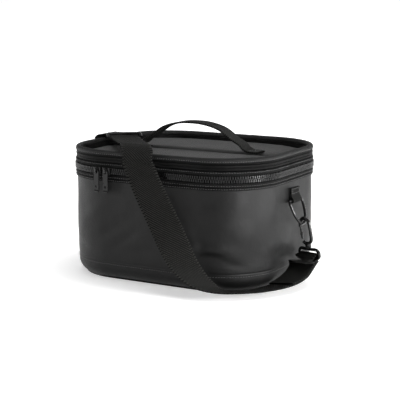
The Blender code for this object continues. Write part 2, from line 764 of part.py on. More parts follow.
def build_strap_front():
    """From the lid's front edge down the front, round the corner along the floor, up to the right hook."""
    frame = loop_frame(1)
    bar = frame.translation
    across = -frame.to_3x3().col[1]
    side = UP + STRAP_ARRIVAL_LEAN * Vector((0, -1, 0))
    side = (side - side.dot(across) * across).normalized()
    coming = side.cross(across).normalized()
    if coming.y < 0:
        coming = -coming
    arrive = bar + STRAP_WRAP * side - 0.0070 * coming
    stations = [*STRAP_FRONT_ROUTE, (arrive, across)]
    path = turn_round_bar(ruled_path(stations, 3), bar, across, side, STRAP_END_STATIONS)
    ribbon("strap_front", path, STRAP, "webbing")


def build_strap_left():
    """From the left hook's loop, down in a slack turn and up the left side, doubled all the way."""
    frame = loop_frame(-1)
    bar = frame.translation
    across = frame.to_3x3().col[1]
    if across.y < 0:
        across = -across
    side = Vector((1, 0, 0))
    side = (side - side.dot(across) * across).normalized()
    path = ruled_path([*STRAP_LEFT_ROUTE, (bar + Vector((0.0037, 0, -0.0060)), across)], 3)
    ribbon("strap_left", turn_round_bar(path, bar, across, side, len(path)), STRAP, "webbing")


def build_strap_top(lid_axis):
    """Over the left rim, through the adjuster, across the sunken panel and over the front rim."""
    flat = [(ADJUSTER_PLACE + reach * ADJUSTER_HEADING, ADJUSTER_ACROSS) for reach in STRAP_FLAT_REACHES]
    stations = [*STRAP_TOP_START, *flat, *STRAP_TOP_END]
    attach(ribbon("strap_top", ruled_path(stations, 3), STRAP, "webbing"), lid_axis)
    attach(ribbon("strap_return", ruled_path(STRAP_RETURN_ROUTE, 3), STRAP, "webbing"), lid_axis)


def build_adjuster(lid_axis):
    """A three-bar slide: the webbing passes over its outer bars and under its middle one."""
    frame = Matrix((ADJUSTER_ACROSS, ADJUSTER_HEADING, UP)).transposed().to_4x4()
    if frame.determinant() < 0:
        frame = Matrix((-ADJUSTER_ACROSS, ADJUSTER_HEADING, UP)).transposed().to_4x4()
    frame.translation = ADJUSTER_PLACE
    rail_middle = ADJUSTER_LENGTH / 2 - ADJUSTER_RAIL / 2
    outer_bar = ADJUSTER_WIDTH / 2 - ADJUSTER_BAR / 2
    layer = STRAP / 2 + GAP + ADJUSTER_BAR / 2
    rail = (ADJUSTER_RAIL, ADJUSTER_WIDTH, ADJUSTER_RAIL_HEIGHT)
    adjuster = box("strap_adjuster", rail, (-rail_middle, 0, 0), "hardware")
    bars = [box("adjuster_rail", rail, (rail_middle, 0, 0), "hardware", HELPERS)]
    for index, (y, z) in enumerate(((-outer_bar, -layer), (0, layer), (outer_bar, -layer))):
        size = (ADJUSTER_LENGTH - ADJUSTER_RAIL, ADJUSTER_BAR, ADJUSTER_BAR)
        bars.append(box("adjuster_bar_%d" % index, size, (0, y, z), "hardware", HELPERS))
    axis = axis_empty("adjuster_axis", ADJUSTER_PLACE, lid_axis)
    for obj in (adjuster, *bars):
        obj.matrix_world = frame
        attach(obj, axis)
    for bar in bars:
        join_solid(adjuster, bar)


clear_scene()
PARTS = new_collection("cooler_bag")
HELPERS = new_collection("helpers")
build_base()
build_walls()
build_zip_half("lower", -1)
build_zip_ends()
LID_AXIS = axis_empty("lid_axis", LID_HINGE)
build_lid(LID_AXIS)
build_handle(LID_AXIS)
build_zip_sliders()
for hand, direction in (("left", -1), ("right", 1)):
    build_ring_and_tab(hand, direction)
    build_hook(hand, direction)
build_strap_front()
build_strap_left()
build_strap_top(LID_AXIS)
build_adjuster(LID_AXIS)
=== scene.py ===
"""Looks of an insulated cooler bag: coated fabric walls, padded lid, moulded zip, webbing and black hardware.

Metres, +Z up, +X along the bag and -Y to its front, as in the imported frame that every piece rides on.
"""

import math

import bmesh
import bpy
from mathutils import Euler, Matrix, Vector, noise


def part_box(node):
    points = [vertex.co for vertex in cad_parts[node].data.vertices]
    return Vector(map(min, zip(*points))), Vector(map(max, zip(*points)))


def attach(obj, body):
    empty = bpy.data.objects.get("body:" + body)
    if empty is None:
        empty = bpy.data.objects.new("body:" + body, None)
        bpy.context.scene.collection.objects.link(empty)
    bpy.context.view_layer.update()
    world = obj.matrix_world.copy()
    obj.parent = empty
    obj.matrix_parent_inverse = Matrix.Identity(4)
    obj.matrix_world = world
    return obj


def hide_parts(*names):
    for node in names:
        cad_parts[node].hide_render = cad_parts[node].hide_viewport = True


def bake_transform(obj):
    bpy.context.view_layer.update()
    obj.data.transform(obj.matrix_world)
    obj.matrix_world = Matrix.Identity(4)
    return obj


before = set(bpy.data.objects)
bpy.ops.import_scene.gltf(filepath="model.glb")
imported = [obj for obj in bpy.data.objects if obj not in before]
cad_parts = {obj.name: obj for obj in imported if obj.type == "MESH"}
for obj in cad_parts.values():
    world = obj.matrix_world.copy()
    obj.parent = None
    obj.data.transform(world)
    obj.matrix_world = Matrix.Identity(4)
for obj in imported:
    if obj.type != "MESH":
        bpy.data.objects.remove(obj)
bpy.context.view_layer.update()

UP = Vector((0, 0, 1))

# Sizes read from the frame.
SHELL_LOW, SHELL_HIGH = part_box("outer_shell")
LENGTH = SHELL_HIGH[0] - SHELL_LOW[0]
WIDTH = SHELL_HIGH[1] - SHELL_LOW[1]
MOUTH = SHELL_HIGH[2]
RIM_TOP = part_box("lid_binding")[1][2]
RIM_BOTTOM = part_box("lid_binding")[0][2]
LID_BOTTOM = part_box("lid_wall")[0][2]
LOWER_TAPE_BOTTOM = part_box("lower_zip_tape")[0][2]
UPPER_TAPE_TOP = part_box("upper_zip_tape")[1][2]
PARTING = (MOUTH + LID_BOTTOM) / 2 + 0.00015

# Plan outline: a rectangle with round corners.
CORNER_RADIUS = 0.080
CORNER_X = LENGTH / 2 - CORNER_RADIUS
CORNER_Y = WIDTH / 2 - CORNER_RADIUS
QUARTER = CORNER_RADIUS * math.pi / 2
PERIMETER = 4 * (CORNER_X + CORNER_Y + QUARTER)
ZIP_START = CORNER_X + QUARTER / 2

# Webbing.
STRAP_WIDTH = 0.040
STRAP = 0.0016
HANDLE_WIDTH = 0.025
HANDLE_THICKNESS = 0.0026
TAB_THICKNESS = 0.0012
SELVEDGE = 0.0017
THREAD_RADIUS = 0.00032
THREAD_SINK = 0.0001
TAPE_STITCH = {"spacing": 0.0034, "length": 0.0025}
BACK_FACE_V = 0.1

# Zip teeth.
TOOTH_PITCH = 0.0032
TOOTH_ROOT = 0.0022
TOOTH_HEAD = 0.0013
TOOTH_INNER = 0.0007
TOOTH_OUTER = 0.0033

# Shell shape.
BASE_ROUNDING = 0.018
BASE_SEAM = 0.0255
WALL_BULGE = 0.0014
SEAM_DEPTH = 0.0002
DEEPEST_CREASE = -0.0006
CREASE_GAIN = 1.3

WALL_INSET = 0.0006
NOISE_START = Vector((3.1, 7.7, 1.9))


# ---------------------------------------------------------------- materials


class Shading:
    """Short ways to add nodes to the node tree of a material or a world."""

    def __init__(self, owner):
        owner.use_nodes = True
        self.owner = owner
        self.nodes = owner.node_tree.nodes
        self.links = owner.node_tree.links
        self.places = self.nodes.new("ShaderNodeTexCoord").outputs

    def feed(self, node, inputs):
        """Gives a node's inputs constants, or links from other nodes' sockets."""
        for key, value in inputs.items():
            if isinstance(value, bpy.types.NodeSocket):
                self.links.new(value, node.inputs[key])
            else:
                node.inputs[key].default_value = value

    def add(self, kind, inputs, operation=None):
        node = self.nodes.new(kind)
        if operation:
            node.operation = operation
        self.feed(node, inputs)
        return node

    def math(self, operation, a, b=0.0):
        return self.add("ShaderNodeMath", {0: a, 1: b}, operation).outputs[0]

    def blend(self, *parts):
        """The sum of (socket, weight) parts."""
        total = None
        for socket, weight in parts:
            part = self.math("MULTIPLY", socket, weight)
            total = part if total is None else self.math("ADD", total, part)
        return total

    def bands(self, where, direction, pitch, distortion=0.0):
        """Parallel ridges pitch apart, from 0 to 1."""
        wave = self.add("ShaderNodeTexWave", {
            "Vector": where, "Scale": math.pi / 10 / pitch, "Distortion": distortion, "Detail": 0})
        wave.bands_direction = direction
        return wave.outputs["Fac"]

    def diagonal_uv(self):
        """The UV coordinates turned by 45 degrees."""
        turn = {"Vector": self.places["UV"], "Rotation": (0, 0, math.radians(45))}
        return self.add("ShaderNodeMapping", turn).outputs["Vector"]

    def noise(self, size, detail):
        """Smooth noise whose patches are about size across."""
        return self.add("ShaderNodeTexNoise", {
            "Vector": self.places["Object"], "Scale": 1 / size, "Detail": detail}).outputs["Fac"]

    def spread(self, value, low, high, start, end):
        """Carries a value between low and high over to between start and end."""
        ends = {"From Min": low, "From Max": high, "To Min": start, "To Max": end}
        return self.add("ShaderNodeMapRange", {"Value": value, **ends}).outputs["Result"]

    def ramp(self, factor, dark, light, low=0.0, high=1.0, blue=1.0):
        """Greys from dark to light as factor goes from low to high, the light one with its blue scaled."""
        node = self.add("ShaderNodeValToRGB", {"Fac": factor})
        start, end = node.color_ramp.elements
        start.position = low
        start.color = (dark, dark, dark, 1)
        end.position = high
        end.color = (light, light, light * blue, 1)
        return node.outputs["Color"]

    def finish(self, inputs, bumps=()):
        """The material, with its Principled inputs set and with bumps from (height socket, metres) pairs."""
        normal = {}
        for height, distance in bumps:
            relief = {"Strength": 1, "Distance": distance, "Height": height, **normal}
            bump = self.add("ShaderNodeBump", relief)
            normal = {"Normal": bump.outputs["Normal"]}
        self.feed(self.nodes["Principled BSDF"], {**inputs, **normal})
        return self.owner


def shading(name):
    return Shading(bpy.data.materials.new(name))


def coated_fabric(name, level, roughness, rib=0.0012, where="UV", rib_depth=0.00020, specular=0.22):
    """A plain-woven coated cloth: ribs along both threads, shade painted in their valleys, uneven coating,
    paler where rubbed.
    """
    cloth = shading(name)
    warp = cloth.bands(cloth.places[where], "X", rib)
    weft = cloth.bands(cloth.places[where], "Y", rib * 1.35)
    threads = cloth.math("MAXIMUM", warp, cloth.math("MULTIPLY", warp, weft))
    patches = cloth.noise(0.055, 4)
    slubs = cloth.noise(0.006, 3)
    # The ribs' share of the colour is painted shade in their valleys; the patches and slubs are uneven
    # coating.
    mixed = cloth.blend((threads, 0.35), (patches, 0.45), (slubs, 0.20))
    return cloth.finish({
        "Base Color": cloth.ramp(mixed, level * 0.62, level * 1.42, blue=0.99),
        "Roughness": cloth.spread(patches, 0.25, 0.75, roughness - 0.06, roughness + 0.07),
        "Specular IOR Level": specular,
    }, [(threads, rib_depth), (slubs, 0.00015), (patches, 0.0012)])


def twill_webbing(name, level, half_width, pitch):
    """Heavy webbing: diagonal twill ribs with grooves painted dark as shade, crossing threads and a paler
    knotted selvedge.
    """
    web = shading(name)
    uv = web.places["UV"]
    diagonal = web.bands(web.diagonal_uv(), "X", pitch / math.sqrt(2), 0.5)
    weft = web.bands(uv, "X", 0.00128)
    warp = web.bands(uv, "Y", 0.00176)
    ribs = web.blend((diagonal, 0.75), (weft, 0.20), (warp, 0.12))
    # Distance across the webbing: the face's coordinates are centred on 0 and the back's on BACK_FACE_V.
    across = web.add("ShaderNodeSeparateXYZ", {"Vector": uv}).outputs["Y"]
    back = web.math("ABSOLUTE", web.math("SUBTRACT", across, BACK_FACE_V))
    nearest = web.math("MINIMUM", web.math("ABSOLUTE", across), back)
    selvedge = web.math("GREATER_THAN", nearest, half_width - SELVEDGE)
    knots = web.bands(uv, "X", pitch)
    height = web.add("ShaderNodeMix", {"Factor": selvedge, "A": ribs, "B": knots}).outputs[0]
    fuzz = web.noise(0.004, 4)
    # The colour follows the weave's height: painted shade makes its grooves near black and its ribs paler.
    # The fuzz and broad patches are uneven yarn tone, and the selvedge is paler yarn.
    shade = web.blend((height, 0.80), (fuzz, 0.14), (web.noise(0.045, 3), 0.12), (selvedge, 0.10))
    return web.finish({
        "Base Color": web.ramp(shade, level * 0.02, level * 3.6, 0.40, 0.88, blue=0.93),
        "Roughness": 0.85,
        "Specular IOR Level": 0.07,
        "Sheen Weight": 0.012,
        "Sheen Roughness": 0.5,
    }, [(height, 0.00075), (fuzz, 0.0002)])


def gloss_black(name, level, roughness, grain=0.003, specular=0.5):
    """Black coated metal or moulded plastic with faint unevenness, paler on its sharp convex edges."""
    gloss = shading(name)
    smears = gloss.noise(0.012, 4)
    edges = gloss.add("ShaderNodeNewGeometry", {}).outputs["Pointiness"]
    return gloss.finish({
        "Base Color": gloss.ramp(gloss.blend((smears, 0.25), (edges, 1.0)), level, level * 3.2, 0.60, 0.78),
        "Roughness": gloss.spread(smears, 0.3, 0.7, roughness - 0.06, roughness + 0.10),
        "Specular IOR Level": specular,
    }, [(gloss.noise(grain, 3), 0.00006)])


def crinkled_film(name, level=0.55):
    """Pale coated lining film with pressed diamonds, soft creases and cloudy patches."""
    film = shading(name)
    where = film.diagonal_uv()
    press = film.math("MINIMUM", film.bands(where, "X", 0.0028), film.bands(where, "Y", 0.0028))
    cloud = film.noise(0.04, 5)
    mixed = film.blend((cloud, 0.7), (press, 0.3))
    return film.finish({
        "Base Color": film.ramp(mixed, level * 0.78, level * 1.15, 0.2, 0.8),
        "Metallic": 0.25,
        "Roughness": 0.38,
    }, [(press, 0.0002), (cloud, 0.003)])


def cellular_foam(name, level=0.7):
    """Closed-cell foam: fine pores and a slightly mottled colour."""
    foam = shading(name)
    pores = foam.add("ShaderNodeTexVoronoi", {"Vector": foam.places["Object"], "Scale": 900})
    depth = pores.outputs["Distance"]
    colour = foam.ramp(depth, level * 0.8, level)
    return foam.finish({"Base Color": colour, "Roughness": 0.9}, [(depth, 0.0003)])


def thread_material(name, level):
    """Twisted sewing thread."""
    thread = shading(name)
    ply = thread.noise(0.0006, 1)
    return thread.finish({
        "Base Color": thread.ramp(ply, level * 0.6, level * 1.5, 0.3, 0.7),
        "Roughness": 0.55,
        "Sheen Weight": 0.2,
    }, [(ply, 0.0001)])


MATERIALS = {
    "wall": coated_fabric("wall_fabric", 0.0032, 0.41, rib_depth=0.00013, specular=0.17),
    # Painted sheen: the lid's top is the wall's black cloth made over ten times paler for the light it
    # catches.
    "lid": coated_fabric("lid_top_fabric_painted_sheen", 0.038, 0.58, where="Object"),
    # Painted shade: the lid's side cloth is darker than the wall's cloth for the shade it lies in; the hinge
    # and mouth fold share it.
    "band": coated_fabric("lid_side_fabric_painted_shade", 0.0016, 0.52, rib=0.0014, specular=0.07),
    "binding": coated_fabric("rim_binding", 0.005, 0.55, rib=0.0010, rib_depth=0.00016, specular=0.16),
    "tape": coated_fabric("zip_tape", 0.002, 0.66, rib=0.0009, rib_depth=0.00018, specular=0.08),
    "strap": twill_webbing("strap_webbing", 0.0058, 0.020, 0.0040),
    "handle": twill_webbing("handle_webbing", 0.006, 0.0125, 0.0030),
    # Painted shade: the tab's webbing is darker than the strap's to damp the right softbox's light on it.
    "tab": twill_webbing("tab_webbing", 0.004, 0.0128, 0.0022),
    "teeth": gloss_black("moulded_teeth", 0.003, 0.24, 0.002, 0.27),
    "metal": gloss_black("black_metal", 0.003, 0.17, specular=0.27),
    "plastic": gloss_black("black_plastic", 0.006, 0.16, 0.005, 0.38),
    "liner": crinkled_film("lining_film"),
    "foam": cellular_foam("closed_cell_foam"),
    "board": gloss_black("base_board", 0.05, 0.6, 0.001),
    "thread": thread_material("sewing_thread", 0.030),
}


# ---------------------------------------------------------------- plan outline


def plan_frame(distance):
    """(point, outward normal) on the outline, at a distance round it by the left from the back's middle."""
    distance %= PERIMETER
    stretches = (
        (CORNER_X, None, Vector((0, WIDTH / 2, 0)), Vector((-1, 0, 0))),
        (QUARTER, (-CORNER_X, CORNER_Y), 90, None),
        (2 * CORNER_Y, None, Vector((-LENGTH / 2, CORNER_Y, 0)), Vector((0, -1, 0))),
        (QUARTER, (-CORNER_X, -CORNER_Y), 180, None),
        (2 * CORNER_X, None, Vector((-CORNER_X, -WIDTH / 2, 0)), Vector((1, 0, 0))),
        (QUARTER, (CORNER_X, -CORNER_Y), 270, None),
        (2 * CORNER_Y, None, Vector((LENGTH / 2, -CORNER_Y, 0)), Vector((0, 1, 0))),
        (QUARTER, (CORNER_X, CORNER_Y), 0, None),
        (CORNER_X + 1e-6, None, Vector((CORNER_X, WIDTH / 2, 0)), Vector((-1, 0, 0))),
    )
    for length, centre, start, heading in stretches:
        if distance > length:
            distance -= length
            continue
        if centre:
            angle = math.radians(start) + distance / CORNER_RADIUS
            normal = Vector((math.cos(angle), math.sin(angle), 0))
            return Vector((*centre, 0)) + CORNER_RADIUS * normal, normal
        return start + distance * heading, heading.cross(UP)
    return start + length * heading, heading.cross(UP)


def plan_point(distance, offset, height):
    point, normal = plan_frame(distance)
    return point + offset * normal + height * UP


def steps(start, end, size):
    """Evenly spaced values from start to end, about size apart."""
    count = max(1, round((end - start) / size))
    return [start + (end - start) * index / count for index in range(count + 1)]


# ---------------------------------------------------------------- mesh helpers


def finish_piece(name, builder, material, smooth_angle=35, weld=False):
    """A piece from a bmesh, which is freed, with its faces turned outwards."""
    if weld:
        bmesh.ops.remove_doubles(builder, verts=builder.verts, dist=1e-6)
    bmesh.ops.recalc_face_normals(builder, faces=builder.faces)
    mesh = bpy.data.meshes.new(name)
    builder.to_mesh(mesh)
    builder.free()
    mesh.shade_smooth()
    mesh.set_sharp_from_angle(angle=math.radians(smooth_angle))
    mesh.materials.append(MATERIALS[material])
    piece = bpy.data.objects.new(name, mesh)
    bpy.context.scene.collection.objects.link(piece)
    return piece


def grid(builder, rows, uvs, wrap_rows=False, wrap_columns=False, wrap_u=0.0):
    """Quads between rows of points, with (u, v) in metres for each. wrap_u is added past the last column."""
    layer = builder.loops.layers.uv.verify()
    verts = [[builder.verts.new(point) for point in row] for row in rows]
    row_count = len(rows) if wrap_rows else len(rows) - 1
    column_count = len(rows[0]) if wrap_columns else len(rows[0]) - 1
    for r in range(row_count):
        below = (r + 1) % len(rows)
        for c in range(column_count):
            beside = (c + 1) % len(rows[0])
            corners = [(r, c), (r, beside), (below, beside), (below, c)]
            face = builder.faces.new([verts[i][j] for i, j in corners])
            for loop, (i, j) in zip(face.loops, corners):
                u, v = uvs[i][j]
                if beside == 0 and j == 0:
                    u += wrap_u
                loop[layer].uv = (u, v)
    return verts


def ring_faces(builder, rings):
    """Quads from each ring of verts to the next."""
    for one, other in zip(rings, rings[1:]):
        for i in range(len(one)):
            j = (i + 1) % len(one)
            builder.faces.new((one[i], one[j], other[j], other[i]))


def round_profile(name, profile, material, start=0.0, end=None, size=0.004, closed=True, angle=35,
                  shift=None):
    """A profile of (offset, height) points carried round the outline, whole or from start to end.

    shift takes a distance round the outline and a height, and gives what to add to the offset and the height.
    """
    builder = bmesh.new()
    whole = end is None
    stops = steps(start, start + PERIMETER if whole else end, size)
    if whole:
        stops = stops[:-1]
    girth = [0.0]
    for before, after in zip(profile, profile[1:]):
        girth.append(girth[-1] + math.dist(before, after))
    rows = []
    for offset, height in profile:
        moves = [shift(stop, height) if shift else (0.0, 0.0) for stop in stops]
        rows.append([plan_point(stop, offset + out, height + up) for stop, (out, up) in zip(stops, moves)])
    uvs = [[(stop, length) for stop in stops] for length in girth]
    verts = grid(builder, rows, uvs, wrap_rows=closed, wrap_columns=whole, wrap_u=PERIMETER)
    if not whole:
        builder.faces.new([row[0] for row in verts])
        builder.faces.new([row[-1] for row in verts])
    return finish_piece(name, builder, material, angle)


def rounded_box_profile(low_offset, high_offset, low, high, radius, segments=3):
    """A closed rectangular profile with round corners."""
    points = []
    corners = (
        (high_offset - radius, low + radius, -90),
        (high_offset - radius, high - radius, 0),
        (low_offset + radius, high - radius, 90),
        (low_offset + radius, low + radius, 180),
    )
    for x, z, start in corners:
        for index in range(segments + 1):
            angle = math.radians(start + 90 * index / segments)
            points.append((x + radius * math.cos(angle), z + radius * math.sin(angle)))
    return points


def smooth_path(points, count):
    """A Catmull-Rom curve through points, with count spans between each pair."""
    ends = [2 * points[0] - points[1], *points, 2 * points[-1] - points[-2]]
    path = []
    for before, start, end, after in zip(ends, ends[1:], ends[2:], ends[3:]):
        for index in range(count):
            t = index / count
            square = 2 * before - 5 * start + 4 * end - after
            cube = 3 * start - before - 3 * end + after
            path.append(0.5 * (2 * start + (end - before) * t + square * t**2 + cube * t**3))
    path.append(points[-1].copy())
    return path


def ruled_path(stations, count, width):
    """(centre, half-width vector) pairs from (centre, direction across) stations."""
    centres = smooth_path([Vector(centre) for centre, _ in stations], count)
    rulings = smooth_path([Vector(ruling) for _, ruling in stations], count)
    path = []
    for index, centre in enumerate(centres):
        heading = (centres[min(index + 1, len(centres) - 1)] - centres[max(index - 1, 0)]).normalized()
        ruling = rulings[index].normalized()
        across = ruling - ruling.dot(heading) * heading
        path.append((centre, ruling * (width / 2 / across.length)))
    return path


def webbing(name, path, thickness, material):
    """Woven webbing with thin rounded edges along a path of (centre, half-width vector) pairs."""
    columns = (-1.0, -0.965, -0.88, -0.6, -0.3, 0.0, 0.3, 0.6, 0.88, 0.965, 1.0)
    thin = (0.45, 0.92, 1.0, 1.0, 1.0, 1.0, 1.0, 1.0, 1.0, 0.92, 0.45)
    builder = bmesh.new()
    rows = []
    uvs = []
    travelled = 0.0
    for index, (centre, half) in enumerate(path):
        ahead = path[min(index + 1, len(path) - 1)][0]
        behind = path[max(index - 1, 0)][0]
        normal = (ahead - behind).cross(half).normalized()
        travelled += (centre - behind).length if index else 0
        row = []
        uv = []
        for side in (1, -1):
            order = range(len(columns)) if side == 1 else range(len(columns) - 1, -1, -1)
            for column in order:
                q = columns[column]
                row.append(centre + q * half + (side * thin[column] * thickness / 2) * normal)
                uv.append((travelled, q * half.length + (0 if side == 1 else BACK_FACE_V)))
        rows.append(row)
        uvs.append(uv)
    verts = grid(builder, rows, uvs, wrap_columns=True)
    builder.faces.new(verts[0])
    builder.faces.new(verts[-1])
    return finish_piece(name, builder, material, 50)


def stitches(name, points, normals, spacing, length):
    """A row of thread stitches along points, each a short bead half sunk in the cloth."""
    builder = bmesh.new()
    gap = spacing / 2
    for (start, end), normal in zip(zip(points, points[1:]), normals):
        span = end - start
        reach = span.length
        if reach < 1e-7:
            continue
        along = span / reach
        while gap < reach:
            centre = start + along * gap + normal * (THREAD_RADIUS - THREAD_SINK)
            across = normal.cross(along).normalized()
            lift = along.cross(across)
            turn = Matrix((along, across, lift)).transposed().to_4x4()
            size = Matrix.Diagonal((length / 2, THREAD_RADIUS, THREAD_RADIUS * 0.9, 1))
            bead = Matrix.Translation(centre) @ turn @ size @ Matrix.Rotation(math.pi / 2, 4, "Y")
            bmesh.ops.create_uvsphere(builder, u_segments=6, v_segments=4, radius=1, matrix=bead)
            gap += spacing
        gap -= reach
    return finish_piece(name, builder, "thread", 80)


def outline_stitches(name, offset, height, start=0.0, end=None, **kinds):
    """Stitches round the outline at one height, facing outwards."""
    stops = steps(start, PERIMETER if end is None else end, 0.004)
    points = [plan_point(stop, offset, height) for stop in stops]
    normals = [plan_frame(stop)[1] for stop in stops]
    return stitches(name, points, normals, **kinds)


def dress(piece, body, slot, *nodes):
    """Puts a piece on its body and hides the CAD nodes that it stands for."""
    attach(piece, body)
    if nodes:
        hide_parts(*nodes)
    return piece


# ---------------------------------------------------------------- bag walls

# Soft creases in the wall: distance round the outline, height, half length, half width, angle, depth.
FRONT_LEFT = CORNER_X + QUARTER + 2 * CORNER_Y + QUARTER
FRONT_RIGHT = FRONT_LEFT + 2 * CORNER_X
RIGHT_SIDE = FRONT_RIGHT + QUARTER
CREASES = [
    (FRONT_RIGHT + 0.012, 0.045, 0.026, 0.0055, 12, -0.0020),
    (FRONT_RIGHT + 0.045, 0.040, 0.022, 0.0045, -16, -0.0014),
    (FRONT_RIGHT - 0.004, 0.060, 0.018, 0.0080, 30, -0.0012),
    (FRONT_RIGHT + 0.030, 0.056, 0.020, 0.0070, -4, 0.0012),
    (FRONT_RIGHT + 0.020, 0.118, 0.030, 0.0090, 6, -0.0008),
    (FRONT_RIGHT + 0.075, 0.075, 0.030, 0.0120, 70, 0.0010),
    (FRONT_LEFT + 0.010, 0.070, 0.030, 0.0080, 28, -0.0010),
    (FRONT_LEFT + 0.035, 0.060, 0.026, 0.0065, 34, -0.0009),
    (FRONT_LEFT - 0.020, 0.090, 0.030, 0.0100, 40, 0.0008),
    (FRONT_LEFT + 0.060, 0.045, 0.024, 0.0070, 8, -0.0009),
    (FRONT_LEFT - 0.045, 0.040, 0.024, 0.0065, -12, -0.0012),
    (RIGHT_SIDE + 0.020, 0.045, 0.024, 0.0065, 10, -0.0011),
    (RIGHT_SIDE + 0.065, 0.060, 0.028, 0.0080, -25, -0.0012),
    (0.040, 0.050, 0.030, 0.0080, 20, -0.0012),
    (PERIMETER - 0.045, 0.075, 0.034, 0.0090, -24, -0.0011),
    (0.110, 0.046, 0.024, 0.0060, -10, -0.0012),
    (0.190, 0.060, 0.028, 0.0080, 25, -0.0010),
]


def wall_offset(distance, height):
    """How far the soft wall stands from its plan outline."""
    rise = (height - BASE_SEAM) / (MOUTH - BASE_SEAM)
    offset = 0.0
    if height > BASE_SEAM:
        offset += WALL_BULGE * math.sin(math.pi * min(1, rise)) ** 0.8
        calm = min(1, rise * 6) * min(1, (1 - rise) * 7)
    else:
        calm = 0.25 * max(0.0, height / BASE_SEAM)
    point = plan_frame(distance)[0]
    where = Vector((point.x, point.y, height))
    offset += calm * 0.0010 * noise.noise(where * 17 + NOISE_START)
    offset += calm * 0.0004 * noise.noise(where * 48 + NOISE_START)
    for centre, level, long, wide, lean, depth in CREASES:
        along = (distance - centre + PERIMETER / 2) % PERIMETER - PERIMETER / 2
        turn = math.radians(lean)
        u = (along * math.cos(turn) + (height - level) * math.sin(turn)) / long
        v = (-along * math.sin(turn) + (height - level) * math.cos(turn)) / wide
        if abs(u) < 2.5 and abs(v) < 3:
            offset += CREASE_GAIN * calm * depth * math.exp(-u * u - v * v)
    seam = (height - BASE_SEAM) / 0.0010
    offset -= SEAM_DEPTH * math.exp(-seam * seam)
    return max(offset, DEEPEST_CREASE)


def wall_profile():
    """(offset, height) stations from the foot's inner edge up to the mouth."""
    stations = []
    for turn in steps(0, 62, 6)[::-1]:
        angle = math.radians(turn)
        stations.append((-BASE_ROUNDING * (1 - math.cos(angle)), BASE_ROUNDING * (1 - math.sin(angle))))
    heights = steps(BASE_ROUNDING, BASE_SEAM - 0.0030, 0.0020)[1:]
    heights += steps(BASE_SEAM - 0.0022, BASE_SEAM + 0.0022, 0.00055)
    heights += steps(BASE_SEAM + 0.0034, MOUTH, 0.0034)
    return stations + [(0.0, height) for height in heights]


def wall_shift(stop, height):
    return wall_offset(stop, height) - WALL_INSET, 0.0


def build_wall():
    wall = round_profile("wall_cloth", wall_profile(), "wall", size=0.0030, closed=False, angle=60,
                         shift=wall_shift)
    thicken(wall, 0.0011)
    dress(wall, "bag", "shell_fabric", "outer_shell")


def thicken(piece, thickness):
    """Gives a sheet its thickness, inwards, and applies it."""
    modifier = piece.modifiers.new("thickness", "SOLIDIFY")
    modifier.thickness = thickness
    modifier.offset = -1
    apply_modifiers(piece)


def apply_modifiers(piece):
    bpy.context.view_layer.update()
    graph = bpy.context.evaluated_depsgraph_get()
    mesh = bpy.data.meshes.new_from_object(piece.evaluated_get(graph))
    old = piece.data
    piece.modifiers.clear()
    piece.data = mesh
    bpy.data.meshes.remove(old)
    mesh.name = piece.name


def build_wall_trim():
    """The stitched base seam and the binding on the mouth's edge."""
    seam = outline_stitches("base_seam_stitches", 0.0002, BASE_SEAM - 0.0034, spacing=0.0036, length=0.0026)
    dress(seam, "bag", "shell_fabric")
    inner, outer = -0.0098, 0.0002
    low, high = MOUTH + 0.0001, MOUTH + 0.0005
    mouth = [(inner, low), (outer, low), (outer, high), (inner, high)]
    dress(round_profile("mouth_tape", mouth, "binding"), "bag", "binding")


def build_tapes():
    """The zip tapes with their tooth cords, the turned-in fold of the bag's cloth, and their stitches."""
    end = PERIMETER - ZIP_START
    below, above = PARTING - 0.0052, PARTING + 0.0052
    tape = (0.0004, 0.0022, 0.0006)
    cord = (0.0003, 0.0009, 0.0002)
    strips = (
        ("zip_tape_lower", tape, LOWER_TAPE_BOTTOM, below, "bag", ["lower_zip_tape"]),
        ("zip_tape_upper", tape, above, UPPER_TAPE_TOP, "lid", ["upper_zip_tape"]),
        ("tooth_cord_lower", cord, below, PARTING - 0.0012, "bag", []),
        ("tooth_cord_upper", cord, PARTING + 0.0012, above, "lid", []),
    )
    for name, (inner, outer, radius), low, high, body, nodes in strips:
        profile = rounded_box_profile(inner, outer, low, high, radius)
        dress(round_profile(name, profile, "tape", ZIP_START, end), body, "zip_tape", *nodes)
    fold = rounded_box_profile(0.0003, 0.0020, LOWER_TAPE_BOTTOM - 0.0042, LOWER_TAPE_BOTTOM - 0.0004, 0.0007)
    dress(round_profile("mouth_fold", fold, "band"), "bag", "shell_fabric")
    rows = (
        ("tape_stitches_lower", 0.0022, LOWER_TAPE_BOTTOM + 0.0018, "bag"),
        ("fold_stitches", 0.0020, LOWER_TAPE_BOTTOM - 0.0022, "bag"),
        ("tape_stitches_upper", 0.0022, UPPER_TAPE_TOP - 0.0016, "lid"),
    )
    for name, offset, height, body in rows:
        stitched = outline_stitches(name, offset, height, ZIP_START, end, **TAPE_STITCH)
        dress(stitched, body, "zip_tape")


